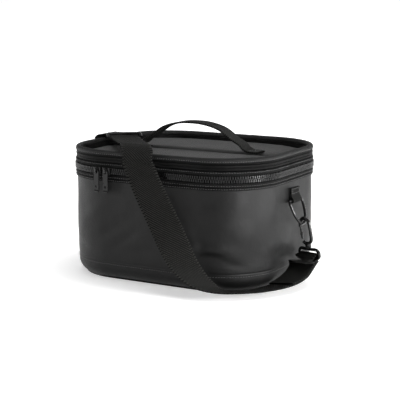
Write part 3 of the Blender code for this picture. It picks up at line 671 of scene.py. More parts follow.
def build_teeth(name, side, phase):
    """One row of moulded teeth. side is -1 on the bag and 1 on the lid. phase is a part of the pitch."""
    builder = bmesh.new()
    end = PERIMETER - ZIP_START - 0.002
    count = int((end - ZIP_START - 0.004) / TOOTH_PITCH)
    root, head = TOOTH_ROOT / 2, TOOTH_HEAD / 2
    profile = [
        (-root, 0.0044), (root, 0.0044), (root, 0.0016), (head, 0.0004), (head, -0.0009), (-head, -0.0009),
        (-head, 0.0004), (-root, 0.0016),
    ]
    for index in range(count):
        point, normal = plan_frame(ZIP_START + 0.003 + (index + phase) * TOOTH_PITCH)
        along = UP.cross(normal)
        rings = [[], [], []]
        for u, v in profile:
            base = point + along * u + UP * (PARTING + side * v)
            shrunk = point + along * (u * 0.72) + UP * (PARTING + side * (0.0018 + (v - 0.0018) * 0.80))
            rings[0].append(builder.verts.new(base + normal * TOOTH_INNER))
            rings[1].append(builder.verts.new(base + normal * (TOOTH_OUTER - 0.0007)))
            rings[2].append(builder.verts.new(shrunk + normal * TOOTH_OUTER))
        ring_faces(builder, rings)
        builder.faces.new(rings[2])
        builder.faces.new(rings[0][::-1])
    return finish_piece(name, builder, "teeth", 45)


def build_zip():
    build_tapes()
    dress(build_teeth("zip_teeth_lower", -1, 0.0), "bag", "zip_teeth", "lower_zip_teeth")
    dress(build_teeth("zip_teeth_upper", 1, 0.5), "lid", "zip_teeth", "upper_zip_teeth")
    profile = rounded_box_profile(0.0038, 0.0050, PARTING - 0.0126, PARTING - 0.0018, 0.0005)
    heights = steps(PARTING - 0.0118, PARTING - 0.0026, 0.002)
    half = 0.006
    for name, middle in (("left", ZIP_START), ("right", PERIMETER - ZIP_START)):
        start, end = middle - half, middle + half
        tab = round_profile("zip_end_tab_" + name, profile, "binding", start, end, size=0.001)
        dress(tab, "bag", "shell_fabric", "zip_end_" + name)
        for edge in (-0.0046, 0.0046):
            points = [plan_point(middle + edge, 0.0050, height) for height in heights]
            normals = [plan_frame(middle + edge)[1]] * len(points)
            row_name = "zip_end_stitches_%s_%d" % (name, edge > 0)
            row = stitches(row_name, points, normals, spacing=0.0026, length=0.0018)
            dress(row, "bag", "shell_fabric")


def build_back_hinge():
    """The fabric strip that the lid turns on, across the parting between the bag and the lid, with a slight
    crown.
    """
    builder = bmesh.new()
    start, end = PERIMETER - ZIP_START + 0.004, PERIMETER + ZIP_START - 0.004
    reach = 0.0100
    stops = steps(start, end, 0.004)
    heights = steps(PARTING - reach, PARTING + reach, 0.0010)
    rows = []
    for height in heights:
        crown = 0.0006 * math.cos(math.pi / 2 * (height - PARTING) / reach)
        rows.append([plan_point(stop, 0.0012 + crown, height) for stop in stops])
    grid(builder, rows, [[(stop, height) for stop in stops] for height in heights])
    strip = finish_piece("back_hinge_cloth", builder, "band", 60)
    thicken(strip, 0.0008)
    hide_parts("back_hinge_lower", "back_hinge_upper")
    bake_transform(strip)
    for name, height, body in (("low", PARTING - 0.0080, "bag"), ("high", PARTING + 0.0080, "lid")):
        row = outline_stitches("back_stitches_" + name, 0.0014, height, start, end, **TAPE_STITCH)
        dress(row, body, "shell_fabric")


# ---------------------------------------------------------------- lid


def lid_wall_shift(stop, height):
    point = plan_frame(stop)[0]
    return 0.00035 * noise.noise(Vector((point.x * 22, point.y * 22, height * 60))), 0.0


def build_lid_wall():
    """The lid's side: a band with two raised cords in it, above the zip tape."""
    inner = -0.0061
    top = RIM_BOTTOM - 0.0003
    profile = []
    for height in steps(LID_BOTTOM, top, 0.00045):
        offset = -0.0001
        if height > UPPER_TAPE_TOP:
            rise = (height - UPPER_TAPE_TOP) / (RIM_BOTTOM - UPPER_TAPE_TOP)
            offset = 0.0014 - 0.0009 * abs(math.cos(rise * 2.5 * math.pi)) ** 6
            offset += 0.0003 * math.sin(rise * math.pi)
        profile.append((offset, height))
    profile += [(inner, top), (inner, LID_BOTTOM)]
    side = round_profile("lid_side_cloth", profile, "band", size=0.0040, angle=50, shift=lid_wall_shift)
    dress(side, "lid", "lid_fabric", "lid_wall", "lid_band")


def rim_shift(stop, height):
    """The rim's small puckers, and the sag of its top."""
    point = plan_frame(stop)[0]
    pucker = 0.0003 * noise.noise(Vector((stop * 140, height * 300, 2.0)))
    sag = 0.0007 * noise.noise(Vector((point.x * 14, point.y * 14, 5.0)))
    weight = max(0.0, (height - RIM_BOTTOM) / (RIM_TOP - RIM_BOTTOM))
    return pucker + sag * 0.5, sag * weight * 0.6


def build_rim():
    """The rolled binding round the lid's rim, with its stitched edge."""
    outer, inner = 0.0019, -0.0062
    crown = 0.0034
    middle = (outer + inner) / 2
    half = (outer - inner) / 2
    profile = [(outer - 0.0006, RIM_BOTTOM), (outer, RIM_BOTTOM + 0.0010)]
    for index in range(13):
        angle = math.pi * index / 12
        profile.append((middle + half * math.cos(angle), RIM_TOP - crown + crown * math.sin(angle)))
    profile += [(inner, RIM_BOTTOM + 0.0010), (inner + 0.0006, RIM_BOTTOM)]
    rim = round_profile("rim_binding_cloth", profile, "binding", size=0.0030, angle=60, shift=rim_shift)
    dress(rim, "lid", "binding", "lid_binding")
    seam_height = RIM_BOTTOM + 0.0016
    seam = outline_stitches("rim_stitches", outer - 0.0001, seam_height, spacing=0.0033, length=0.0024)
    dress(seam, "lid", "binding")


SEAM_HALF_WIDTH = 0.0012
PANEL_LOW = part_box("lid_panel_front")[0][2]
PANEL_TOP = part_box("lid_panel_front")[1][2] + 0.0026
EDGE_ROLL = {1: 0.008, -1: 0.022}
PANEL_OFFSET = -0.0070
PANEL_SEWN = PANEL_LOW + 0.0022
CLOTH_FRAMES = 20
LONGEST_MOVE = 0.006


def panel_outline(side):
    """Half of the lid's inner outline, front (-1) or back (1), with its straight edge at the middle seam."""
    points = []
    for stop in steps(0, PERIMETER, 0.006)[:-1]:
        point = plan_point(stop, PANEL_OFFSET, 0)
        if point.y * side > SEAM_HALF_WIDTH + 0.002:
            points.append(point)
    points.sort(key=lambda point: math.atan2(point.y * side, point.x))
    half = LENGTH / 2 + PANEL_OFFSET
    edge = [Vector((x, side * SEAM_HALF_WIDTH, 0)) for x in steps(-half, half, 0.006)]
    return edge + points


def build_panel(name, side, node):
    """One padded half of the lid, swollen by its foam against its seams."""
    outline = panel_outline(side)
    builder = bmesh.new()
    low, high = PANEL_LOW + 0.0004, PANEL_LOW + 0.0065
    rings = [[builder.verts.new(point + UP * height) for point in outline] for height in (low, high)]
    ring_faces(builder, rings)
    builder.faces.new(rings[1])
    builder.faces.new(rings[0][::-1])
    pad = finish_piece(name, builder, "lid", 60)
    remesh = pad.modifiers.new("remesh", "REMESH")
    remesh.mode = "VOXEL"
    remesh.voxel_size = 0.0022
    apply_modifiers(pad)
    swell(pad, PANEL_SEWN)
    shape_panel(pad, side)
    pad.data.shade_smooth()
    dress(pad, "lid", "lid_fabric", node)


def swell(pad, pinned_below):
    """Inflates a pad as cloth under pressure, with its lower part held, and keeps the result."""
    group = pad.vertex_groups.new(name="held")
    held = [vertex.index for vertex in pad.data.vertices if vertex.co.z < pinned_below]
    group.add(held, 1.0, "REPLACE")
    before = [vertex.co.copy() for vertex in pad.data.vertices]
    cloth = pad.modifiers.new("cloth", "CLOTH")
    settings = cloth.settings
    settings.quality = 5
    settings.mass = 0.3
    settings.tension_stiffness = 15
    settings.compression_stiffness = 15
    settings.shear_stiffness = 5
    settings.bending_stiffness = 0.5
    settings.use_pressure = True
    settings.uniform_pressure_force = 4
    settings.vertex_group_mass = "held"
    settings.effector_weights.gravity = 0
    cloth.collision_settings.use_collision = False
    cloth.point_cache.frame_start = 1
    cloth.point_cache.frame_end = CLOTH_FRAMES
    for number in range(1, CLOTH_FRAMES + 1):
        bpy.context.scene.frame_set(number)
    apply_modifiers(pad)
    bpy.context.scene.frame_set(1)
    for vertex, start in zip(pad.data.vertices, before):
        move = vertex.co - start
        if move.length > LONGEST_MOVE:
            vertex.co = start + move.normalized() * LONGEST_MOVE


def shape_panel(pad, side):
    """Keeps the pad inside the rim, crowns it and draws it down to the middle seam and the rim."""
    half_x = LENGTH / 2 + PANEL_OFFSET
    half_y = WIDTH / 2 + PANEL_OFFSET
    for vertex in pad.data.vertices:
        x, y, z = vertex.co
        seam_distance = max(0.0, y * side - SEAM_HALF_WIDTH)
        rim_distance = rim_gap(x, y)
        edge = min(1.0, seam_distance / EDGE_ROLL[side])
        side_edge = min(1.0, rim_distance / 0.030)
        crown = (1 - (1 - edge) ** 2.4) * (0.45 + 0.55 * (1 - (1 - side_edge) ** 2.0))
        if z > PANEL_SEWN:
            ripple = 0.0007 * noise.noise(Vector((x * 16, y * 22, side * 3.0)))
            ripple += 0.00025 * noise.noise(Vector((x * 70, y * 60, side * 9.0)))
            target = PANEL_LOW + 0.0034 + (PANEL_TOP - PANEL_LOW - 0.0030) * crown + ripple * crown
            vertex.co.z = 0.25 * min(z, PANEL_TOP) + 0.75 * target
        overshoot = -rim_distance
        if overshoot > 0:
            vertex.co.x -= overshoot * x / half_x
            vertex.co.y -= overshoot * y / half_y
        vertex.co.y = side * max(vertex.co.y * side, SEAM_HALF_WIDTH - 0.0004)
        vertex.co.z = max(vertex.co.z, PANEL_LOW + 0.0001)
    smooth = pad.modifiers.new("smooth", "SMOOTH")
    smooth.factor = 0.5
    smooth.iterations = 4
    apply_modifiers(pad)
    pad.data.materials.clear()
    pad.data.materials.append(MATERIALS["lid"])


def rim_gap(x, y):
    """Distance from a point to the inner face of the lid's rim, positive inside."""
    beyond_x = abs(x) - CORNER_X
    beyond_y = abs(y) - CORNER_Y
    radius = CORNER_RADIUS + PANEL_OFFSET
    if beyond_x > 0 and beyond_y > 0:
        return radius - math.hypot(beyond_x, beyond_y)
    return radius - max(beyond_x, beyond_y)


def build_lid_top():
    """Both padded halves, and a narrow dark tape over the seam between them, painted shade for the valley
    there.
    """
    build_panel("lid_pad_front", -1, "lid_panel_front")
    build_panel("lid_pad_back", 1, "lid_panel_back")
    half = LENGTH / 2 - 0.0075
    builder = bmesh.new()
    stops = steps(-half, half, 0.004)
    profile = ((-0.0026, 0.0), (-0.0014, 0.0005), (0.0, 0.0007), (0.0014, 0.0005), (0.0026, 0.0))
    rows = [[Vector((x, y, PANEL_LOW + 0.0032 + z)) for x in stops] for y, z in profile]
    grid(builder, rows, [[(x, y) for x in stops] for y, _ in profile])
    # The seam is real; its narrow dark tape is painted shade for the valley between the swollen halves.
    tape = finish_piece("lid_seam_shade_tape", builder, "tape", 60)
    thicken(tape, 0.0006)
    dress(tape, "lid", "binding")


def build_bag_lining():
    """The bag's lining film, creased round the walls, with its floor."""
    builder = bmesh.new()
    stops = steps(0, PERIMETER, 0.0040)[:-1]
    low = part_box("inner_liner")[0][2] + 0.0004
    heights = steps(low, MOUTH - 0.0002, 0.0045)
    rows = []
    for height in heights:
        calm = min(1.0, (MOUTH - height) / 0.012) * min(1.0, (height - low) / 0.008)
        row = []
        for stop in stops:
            point = plan_frame(stop)[0]
            crease = noise.noise(Vector((point.x * 34, point.y * 34, height * 26)))
            fine = noise.noise(Vector((point.x * 90, point.y * 90, height * 70 + 4)))
            row.append(plan_point(stop, -0.0092 - calm * (0.0010 + 0.0009 * crease + 0.0004 * fine), height))
        rows.append(row)
    uvs = [[(stop, height) for stop in stops] for height in heights]
    foot = grid(builder, rows, uvs, wrap_columns=True, wrap_u=PERIMETER)[0]
    rings = [foot]
    for scale in (0.985, 0.94, 0.84, 0.70, 0.54, 0.36, 0.18):
        ring = []
        for vertex in foot:
            x, y = vertex.co.x * scale, vertex.co.y * scale
            dip = 0.0004 * noise.noise(Vector((x * 40, y * 40, 1.0)))
            ring.append(builder.verts.new((x, y, low + dip)))
        rings.append(ring)
    ring_faces(builder, rings)
    builder.faces.new(rings[-1])
    film = finish_piece("lining_film", builder, "liner", 60)
    thicken(film, 0.0004)
    dress(film, "bag", "liner", "inner_liner")


def build_lid_lining():
    """The lid's slightly puffed lining, with its bound edge."""
    edge_offset = -0.0066
    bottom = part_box("lid_liner")[0][2]
    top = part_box("lid_liner")[1][2]
    builder = bmesh.new()
    rings = []
    for scale in (1.0, 0.985, 0.95, 0.88, 0.76, 0.62, 0.46, 0.30, 0.14):
        ring = []
        for stop in steps(0, PERIMETER, 0.006)[:-1]:
            x, y, _ = plan_point(stop, edge_offset, 0) * scale
            puff = 0.0004 * noise.noise(Vector((x * 34, y * 34, 8.0))) if scale < 1 else 0.0
            ring.append(builder.verts.new((x, y, bottom + 0.0005 + puff)))
        rings.append(ring)
    ring_faces(builder, rings)
    builder.faces.new(rings[-1])
    layer = builder.loops.layers.uv.verify()
    for face in builder.faces:
        for loop in face.loops:
            loop[layer].uv = loop.vert.co.xy
    film = finish_piece("lid_lining_film", builder, "liner", 60)
    thicken(film, top - bottom - 0.0006)
    dress(film, "lid", "liner", "lid_liner")
    edge = rounded_box_profile(-0.0120, edge_offset, bottom - 0.0001, bottom + 0.0004, 0.0002, 1)
    dress(round_profile("lid_lining_binding", edge, "tape"), "lid", "binding")


# ---------------------------------------------------------------- handle


def build_handle():
    """Webbing that arches over the lid, sewn down at both feet, and bends where it leaves them."""
    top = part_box("carry_handle")[1][2] - HANDLE_THICKNESS / 2
    foot = PANEL_TOP + 0.0012 + HANDLE_THICKNESS / 2
    half_arch = [
        (-0.102, foot - 0.0006), (-0.092, foot), (-0.0855, foot + 0.0010), (-0.0800, foot + 0.0038),
        (-0.0745, foot + 0.0090), (-0.0620, top - 0.0195), (-0.0440, top - 0.0078), (-0.0220, top - 0.0016),
        (0.0, top),
    ]
    arch = half_arch + [(-x, z) for x, z in reversed(half_arch[:-1])]
    half = Vector((0, HANDLE_WIDTH / 2, 0))
    path = [(point, half) for point in smooth_path([Vector((x, 0, z)) for x, z in arch], 8)]
    handle = webbing("handle_webbing", path, HANDLE_THICKNESS, "handle")
    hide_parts("carry_handle", "handle_foot_left", "handle_foot_right")
    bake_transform(handle)
    surface = foot + HANDLE_THICKNESS / 2
    box_half = 0.0105
    for side, name in ((-1, "left"), (1, "right")):
        low, high = 0.0885 * side, 0.1000 * side
        a = Vector((low, -box_half, surface))
        b = Vector((high, -box_half, surface))
        c = Vector((high, box_half, surface))
        d = Vector((low, box_half, surface))
        crossed_box = [a, b, c, d, a, c, d, b]
        normals = [UP] * len(crossed_box)
        row = stitches("handle_stitches_" + name, crossed_box, normals, spacing=0.0028, length=0.0021)
        dress(row, "lid", "webbing")


# ---------------------------------------------------------------- shoulder strap

# The hook's and the slide's places, and the strap's routes as (centre, direction across the webbing), are the
# CAD model's own.
HOOK_FOOT = {1: Vector((0.1752, 0.004, 0.035)), -1: Vector((-0.1690, 0.003, 0.035))}
HOOK_HEAD = {1: Vector((0.1672, 0.001, 0.082)), -1: Vector((-0.1672, 0.001, 0.082))}
LOOP_TURN = {1: math.radians(58), -1: 0.0}
LOOP_WIRE = 0.0022
LOOP_TOP = 0.0090
RING_WIRE = 0.0019
RING_TILT = math.radians(21)
RING_BAR = {side: Vector((side * (LENGTH / 2 + 0.0045), 0, 0.110)) for side in (-1, 1)}
HOOK_BOW = [
    (-0.0058, 0.0205), (-0.0035, 0.0175), (0.0020, 0.0168), (0.0058, 0.0205), (0.0066, 0.0280),
    (0.0066, 0.0420), (0.0052, 0.0480), (0.0020, 0.0512), (-0.0020, 0.0512), (-0.0052, 0.0480),
    (-0.0066, 0.0430), (-0.0066, 0.0405),
]
GATE_PIVOT = (-0.0064, 0, 0.0238)
GATE_HEIGHTS = (-0.0003, 0.0080, 0.0158)
SOCKET_PROFILE = [
    (0, 0.0079), (0.0034, 0.0080), (0.0036, 0.0086), (0.0036, 0.0106), (0.0030, 0.0112), (0, 0.0113),
]
SWIVEL_PROFILE = [
    (0, 0.0116), (0.0040, 0.0116), (0.0043, 0.0120), (0.0043, 0.0130), (0.0034, 0.0134), (0.0034, 0.0138),
    (0.0041, 0.0142), (0.0041, 0.0152), (0.0035, 0.0158), (0.0028, 0.0175), (0, 0.0176),
]
STUD_PROFILE = [
    (0, 0.0050), (0.0019, 0.0052), (0.0021, 0.0060), (0.0021, 0.0078), (0.0019, 0.0086), (0, 0.0088),
]
STRAP_WRAP = LOOP_WIRE + 0.0008 + STRAP / 2
STRAP_END_TAPER = 0.034
STRAP_LAYER_GAP = 0.0007
STRAP_ARRIVAL_LEAN = 0.55
SLIDER_LEFT_ANGLE = math.radians(4.2)
SLIDER_RIGHT_X = -0.062
PULL_OFFSET = 0.0070
PULL_TIP_HEIGHT = 0.1223
ADJUSTER_PLACE = Vector((-0.115, -0.004, 0.1803))
ADJUSTER_HEADING = Vector((0.625, -0.780, 0)).normalized()
ADJUSTER_ACROSS = Vector((-ADJUSTER_HEADING.y, ADJUSTER_HEADING.x, 0))
STRAP_FRONT_ROUTE = [
    ((-0.0044, -0.1413, 0.1642), (1, 0.24, 0)),
    ((0.0048, -0.1421, 0.1455), (0.95, 0.25, 0.05)),
    ((0.0160, -0.1426, 0.1244), (0.92, 0.28, 0.12)),
    ((0.0364, -0.1428, 0.0880), (0.86, 0.38, 0.24)),
    ((0.0482, -0.1434, 0.0668), (0.75, 0.57, 0.22)),
    ((0.0620, -0.1450, 0.0450), (0.57, 0.78, 0.12)),
    ((0.0772, -0.1450, 0.0280), (0.42, 0.90, 0)),
    ((0.0932, -0.1430, 0.0160), (0.20, 0.97, -0.07)),
    ((0.1104, -0.1352, 0.0086), (-0.18, 0.97, -0.15)),
    ((0.1284, -0.1197, 0.0060), (-0.52, 0.84, -0.18)),
    ((0.1484, -0.0970, 0.0055), (-0.82, 0.57, -0.18)),
    ((0.1638, -0.0674, 0.0072), (-0.96, 0.23, -0.15)),
    ((0.1722, -0.0420, 0.0130), (-1, 0.15, -0.12)),
    ((0.1742, -0.0200, 0.0230), (-0.97, 0.25, -0.10)),
]
STRAP_LEFT_ROUTE = [
    ((-0.1572, 0.003, 0.1700), (0, 1, 0)),
    ((-0.1650, 0.005, 0.1450), (0, 1, 0)),
    ((-0.1765, 0.007, 0.1100), (0, 1, 0)),
    ((-0.1825, 0.008, 0.0750), (0, 1, 0)),
    ((-0.1838, 0.008, 0.0400), (0, 1, 0)),
    ((-0.1815, 0.007, 0.0170), (0, 1, 0)),
    ((-0.1745, 0.006, 0.0075), (0, 1, 0)),
    ((-0.1675, 0.0045, 0.0150), (0, 1, 0)),
]
STRAP_TOP_START = [
    ((-0.1569, 0.003, 0.1716), (0, 1, 0)),
    ((-0.1562, 0.004, 0.1770), (0, 1, 0)),
    ((-0.1530, 0.006, 0.1802), (0, 1, 0)),
    ((-0.1470, 0.008, 0.1803), (0.1, 1, 0)),
    ((-0.1360, 0.0095, 0.1803), (0.45, 0.89, 0)),
]
STRAP_TOP_END = [
    ((-0.0750, -0.0540, 0.1812), (0.9, 0.35, 0)),
    ((-0.0470, -0.0880, 0.1840), (1, 0.12, 0)),
    ((-0.0290, -0.1120, 0.1864), (1, 0.02, 0)),
    ((-0.0210, -0.1210, 0.1866), (1, 0.04, 0)),
    ((-0.0150, -0.1295, 0.1843), (1, 0.08, 0)),
    ((-0.0095, -0.1353, 0.1783), (1, 0.18, 0)),
    ((-0.0068, -0.1395, 0.1710), (1, 0.22, 0)),
    ((-0.0050, -0.1412, 0.1657), (1, 0.24, 0)),
]
# The index in STRAP_TOP_END of the front rim's crest, where the strap's top piece meets its front piece.
CREST = 3
STRAP_RETURN_ROUTE = [
    ((-0.1540, 0.004, 0.1755), (0, 1, 0)),
    ((-0.1515, 0.006, 0.1778), (0, 1, 0)),
    ((-0.1470, 0.008, 0.1780), (0.1, 1, 0)),
    ((-0.1435, 0.0085, 0.1780), (0.15, 1, 0)),
]


def hook_frame(side):
    """The hook's own axes: Z along its swivel, from the strap loop up to the bow, and X outwards."""
    foot = HOOK_FOOT[side]
    up = (HOOK_HEAD[side] - foot).normalized()
    across = up.cross(Vector((side, 0, 0))).normalized()
    axes = Matrix((across.cross(up), across, up)).transposed().to_4x4()
    axes.translation = foot
    return axes


def loop_frame(side):
    return hook_frame(side) @ Matrix.Rotation(LOOP_TURN[side], 4, "Z")


def turn_round_bar(path, bar, across, side, layers):
    """Carries a strap path over a round bar and back along itself, layers stations far."""
    half = across * (STRAP_WIDTH / 2)
    heading = (bar - path[-1][0]).normalized()
    heading = (heading - heading.dot(side) * side).normalized()
    carried = list(path)
    for degrees in range(85, -76, -20):
        angle = math.radians(degrees)
        carried.append((bar + STRAP_WRAP * (math.cos(angle) * heading + math.sin(angle) * side), half))
    flip = 1
    for index in range(len(path) - 1, len(path) - 1 - layers, -1):
        centre, edge = path[index]
        ahead = path[index + 1][0] if index < len(path) - 1 else bar + STRAP_WRAP * side
        behind = path[max(index - 1, 0)][0]
        normal = (ahead - behind).cross(edge).normalized()
        if index == len(path) - 1:
            flip = -1 if normal.dot(side) < 0 else 1
        spread = 2 * STRAP_WRAP * (1 - (centre - bar).length / STRAP_END_TAPER)
        carried.append((centre - flip * max(STRAP + STRAP_LAYER_GAP, spread) * normal, edge))
    return carried


def build_strap_front():
    """Over the front rim, down the front, along the floor and through the right hook's loop."""
    axes = loop_frame(1)
    bar = axes.translation
    across = -axes.to_3x3().col[1]
    side = UP + STRAP_ARRIVAL_LEAN * Vector((0, -1, 0))
    side = (side - side.dot(across) * across).normalized()
    coming = side.cross(across).normalized()
    if coming.y < 0:
        coming = -coming
    arrive = bar + STRAP_WRAP * side - 0.0070 * coming
    stations = [*STRAP_TOP_END[CREST:], *STRAP_FRONT_ROUTE, (arrive, across)]
    path = turn_round_bar(ruled_path(stations, 8, STRAP_WIDTH), bar, across, side, 24)
    strap = webbing("strap_front_webbing", path, STRAP, "strap")
    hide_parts("strap_front")
    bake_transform(strap)


def build_strap_top():
    """Over the left rim, through the three-bar slide and across the lid to the front rim's crest."""
    reaches = (-0.0165, 0.0, 0.014, 0.028)
    straight = [(ADJUSTER_PLACE + reach * ADJUSTER_HEADING, ADJUSTER_ACROSS) for reach in reaches]
    stations = [*STRAP_TOP_START[1:], *straight, *STRAP_TOP_END[:CREST + 1]]
    strap = webbing("strap_top_webbing", ruled_path(stations, 8, STRAP_WIDTH), STRAP, "strap")
    dress(strap, "lid", "webbing", "strap_top")
    under = webbing("strap_return_webbing", ruled_path(STRAP_RETURN_ROUTE, 8, STRAP_WIDTH), STRAP, "strap")
    dress(under, "lid", "webbing", "strap_return")


def build_strap_left():
    """The doubled stretch down the left side, round the left hook's loop."""
    axes = loop_frame(-1)
    bar = axes.translation
    across = axes.to_3x3().col[1]
    if across.y < 0:
        across = -across
    side = Vector((1, 0, 0))
    side = (side - side.dot(across) * across).normalized()
    stations = [STRAP_TOP_START[1], STRAP_TOP_START[0], *STRAP_LEFT_ROUTE[1:],
                (bar + Vector((0.0037, 0, -0.0060)), across)]
    path = ruled_path(stations, 8, STRAP_WIDTH)
    strap = webbing("strap_left_webbing", turn_round_bar(path, bar, across, side, len(path)), STRAP, "strap")
    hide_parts("strap_left")
    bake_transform(strap)


# ---------------------------------------------------------------- tabs and hardware


def build_tab(name, side):
    """The folded webbing that holds a D-ring, with a box of stitches."""
    bar = RING_BAR[side]
    wall = LENGTH / 2 + 0.0018 + TAB_THICKNESS / 2
    wrap = RING_WIRE + 0.0006 + TAB_THICKNESS / 2
    outer = wall + TAB_THICKNESS + 0.0004
    section = [(wall, 0.1268), (wall, 0.1140)]
    for degrees in range(200, 381, 20):
        angle = math.radians(degrees)
        section.append((abs(bar.x) + wrap * math.cos(angle), bar.z + wrap * math.sin(angle)))
    section += [(outer + 0.0012, 0.1155), (outer, 0.1190), (outer, 0.1268)]
    half = Vector((0, 0.0128, 0))
    path = [(point, half) for point in smooth_path([Vector((side * x, 0, z)) for x, z in section], 3)]
    tab = webbing("tab_webbing_" + name, path, TAB_THICKNESS, "tab")
    dress(tab, "bag", "webbing", "ring_tab_" + name)
    face = side * (outer + TAB_THICKNESS / 2)
    reach, low, high = 0.0105, 0.1195, 0.1255
    outline = ((-reach, low), (reach, low), (reach, high), (-reach, high), (-reach, low))
    corners = [Vector((face, y, z)) for y, z in outline]
    normals = [Vector((side, 0, 0))] * len(corners)
    row = stitches("tab_stitches_" + name, corners, normals, spacing=0.0026, length=0.0019)
    dress(row, "bag", "webbing")


def set_material(node, material):
    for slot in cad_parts[node].material_slots:
        slot.link = "OBJECT"
        slot.material = MATERIALS[material]


def round_edges(node, width):
    """Small moulded radii on the sharp edges of a carried-over CAD node."""
    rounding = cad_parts[node].modifiers.new("rounding", "BEVEL")
    rounding.width = width
    rounding.segments = 3
    rounding.limit_method = "ANGLE"
    rounding.angle_limit = math.radians(32)
    rounding.harden_normals = True


def bent_wire(name, points, radius, rounds, cyclic=False):
    """A smooth round bar through points, with rounds spans between each pair, as a mesh with welded caps."""
    corners = [Vector(point) for point in points]
    if cyclic:
        smooth = smooth_path(corners + corners[:3], rounds)[rounds:rounds * (len(points) + 1)]
    else:
        smooth = smooth_path(corners, rounds)
    curve = bpy.data.curves.new(name, "CURVE")
    curve.dimensions = "3D"
    curve.bevel_depth = radius
    curve.bevel_resolution = 4
    curve.use_fill_caps = True
    spline = curve.splines.new("POLY")
    spline.points.add(len(smooth) - 1)
    for knot, point in zip(spline.points, smooth):
        knot.co = (*point, 1)
    spline.use_cyclic_u = cyclic
    guide = bpy.data.objects.new(name + "_curve", curve)
    bpy.context.scene.collection.objects.link(guide)
    bpy.context.view_layer.update()
    mesh = bpy.data.meshes.new_from_object(guide.evaluated_get(bpy.context.evaluated_depsgraph_get()))
    bpy.data.objects.remove(guide)
    builder = bmesh.new()
    builder.from_mesh(mesh)
    bpy.data.meshes.remove(mesh)
    return finish_piece(name, builder, "metal", 60, weld=True)


def turned(name, profile, segments=28):
    """A solid of revolution about Z from (radius, height) pairs that start and end on the axis."""
    builder = bmesh.new()
    rows = []
    for radius, height in profile:
        angles = [2 * math.pi * k / segments for k in range(segments)]
        rows.append([Vector((radius * math.cos(a), radius * math.sin(a), height)) for a in angles])
    uvs = [[(k * 0.001, row * 0.001) for k in range(segments)] for row in range(len(profile))]
    grid(builder, rows, uvs, wrap_columns=True, wrap_u=segments * 0.001)
    return finish_piece(name, builder, "metal", 40, weld=True)


def hang(pieces, axes, body, node):
    """Puts hardware pieces in their place on a body and hides the CAD node that they stand for."""
    for piece in pieces:
        piece.data.transform(axes)
        dress(piece, body, "hardware")
    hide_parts(node)


def build_ring(name, side):
    """The D-ring, which leans outwards from its tab."""
    half, drop, shoulder = 0.019, 0.0335, 0.0035
    points = [(0, -half + 0.0015, 0), (0, -half / 2, 0), (0, half / 2, 0), (0, half - 0.0015, 0)]
    for turn in range(0, 181, 15):
        angle = math.radians(turn)
        points.append((0, half * math.cos(angle), -shoulder - (drop - shoulder) * math.sin(angle)))
    ring = bent_wire("ring_wire_" + name, points, RING_WIRE, 4, cyclic=True)
    axes = Matrix.Translation(RING_BAR[side]) @ Matrix.Rotation(-side * RING_TILT, 4, "Y")
    hang([ring], axes, "ring_" + name, "d_ring_" + name)


def build_hook(name, side):
    """The bow with its swivel, the sprung gate, and the loop that holds the strap."""
    half = STRAP_WIDTH / 2 + 0.0030
    outline = (
        (-half + 0.0015, 0), (-half / 3, 0), (half / 3, 0), (half - 0.0015, 0),
        (half, 0.0015), (half, 0.0055), (half - 0.0050, LOOP_TOP), (half / 3, LOOP_TOP),
        (-half / 3, LOOP_TOP), (-half + 0.0050, LOOP_TOP), (-half, 0.0055), (-half, 0.0015),
    )
    loop = bent_wire("loop_wire_" + name, [(0, y, z) for y, z in outline], LOOP_WIRE, 4, cyclic=True)
    socket = turned("loop_socket_" + name, SOCKET_PROFILE)
    hang([loop, socket], loop_frame(side), "bag", "hook_loop_" + name)
    bow = bent_wire("bow_wire_" + name, [(x, 0, z) for x, z in HOOK_BOW], 0.0023, 6)
    swivel = turned("swivel_" + name, SWIVEL_PROFILE)
    hang([bow, swivel], hook_frame(side), "hook_" + name, "hook_" + name)
    gate = bent_wire("gate_wire_" + name, [(0, 0, z) for z in GATE_HEIGHTS], 0.0014, 6)
    stud = turned("gate_stud_" + name, STUD_PROFILE, segments=16)
    hang([gate, stud], hook_frame(side) @ Matrix.Translation(GATE_PIVOT), "gate_" + name, "hook_gate_" + name)


def build_adjuster():
    """The three-bar slide: round rods between two thick arched ends. The middle rod lies on the webbing."""
    axes = Matrix((ADJUSTER_ACROSS, -ADJUSTER_HEADING, UP)).transposed().to_4x4()
    axes.translation = ADJUSTER_PLACE
    reach, depth = 0.0231, 0.0098
    arch = ((-depth, -0.0006), (-depth * 0.5, 0.0010), (0, 0.0022), (depth * 0.5, 0.0010), (depth, -0.0006))
    pieces = []
    for side in (-1, 1):
        points = [(side * reach, y, z) for y, z in arch]
        pieces.append(bent_wire("slide_end_%d" % side, points, 0.0022, 5))
    rods = (
        ("slide_middle", 0, 0.0034, 0.0021),
        ("slide_front", -depth, -0.0022, 0.0010),
        ("slide_back", depth, -0.0022, 0.0010),
    )
    for name, y, z, radius in rods:
        pieces.append(bent_wire(name, [(x, y, z) for x in (-reach, 0, reach)], radius, 3))
    for piece in pieces:
        piece.data.materials[0] = MATERIALS["plastic"]
    hang(pieces, axes, "adjuster", "strap_adjuster")


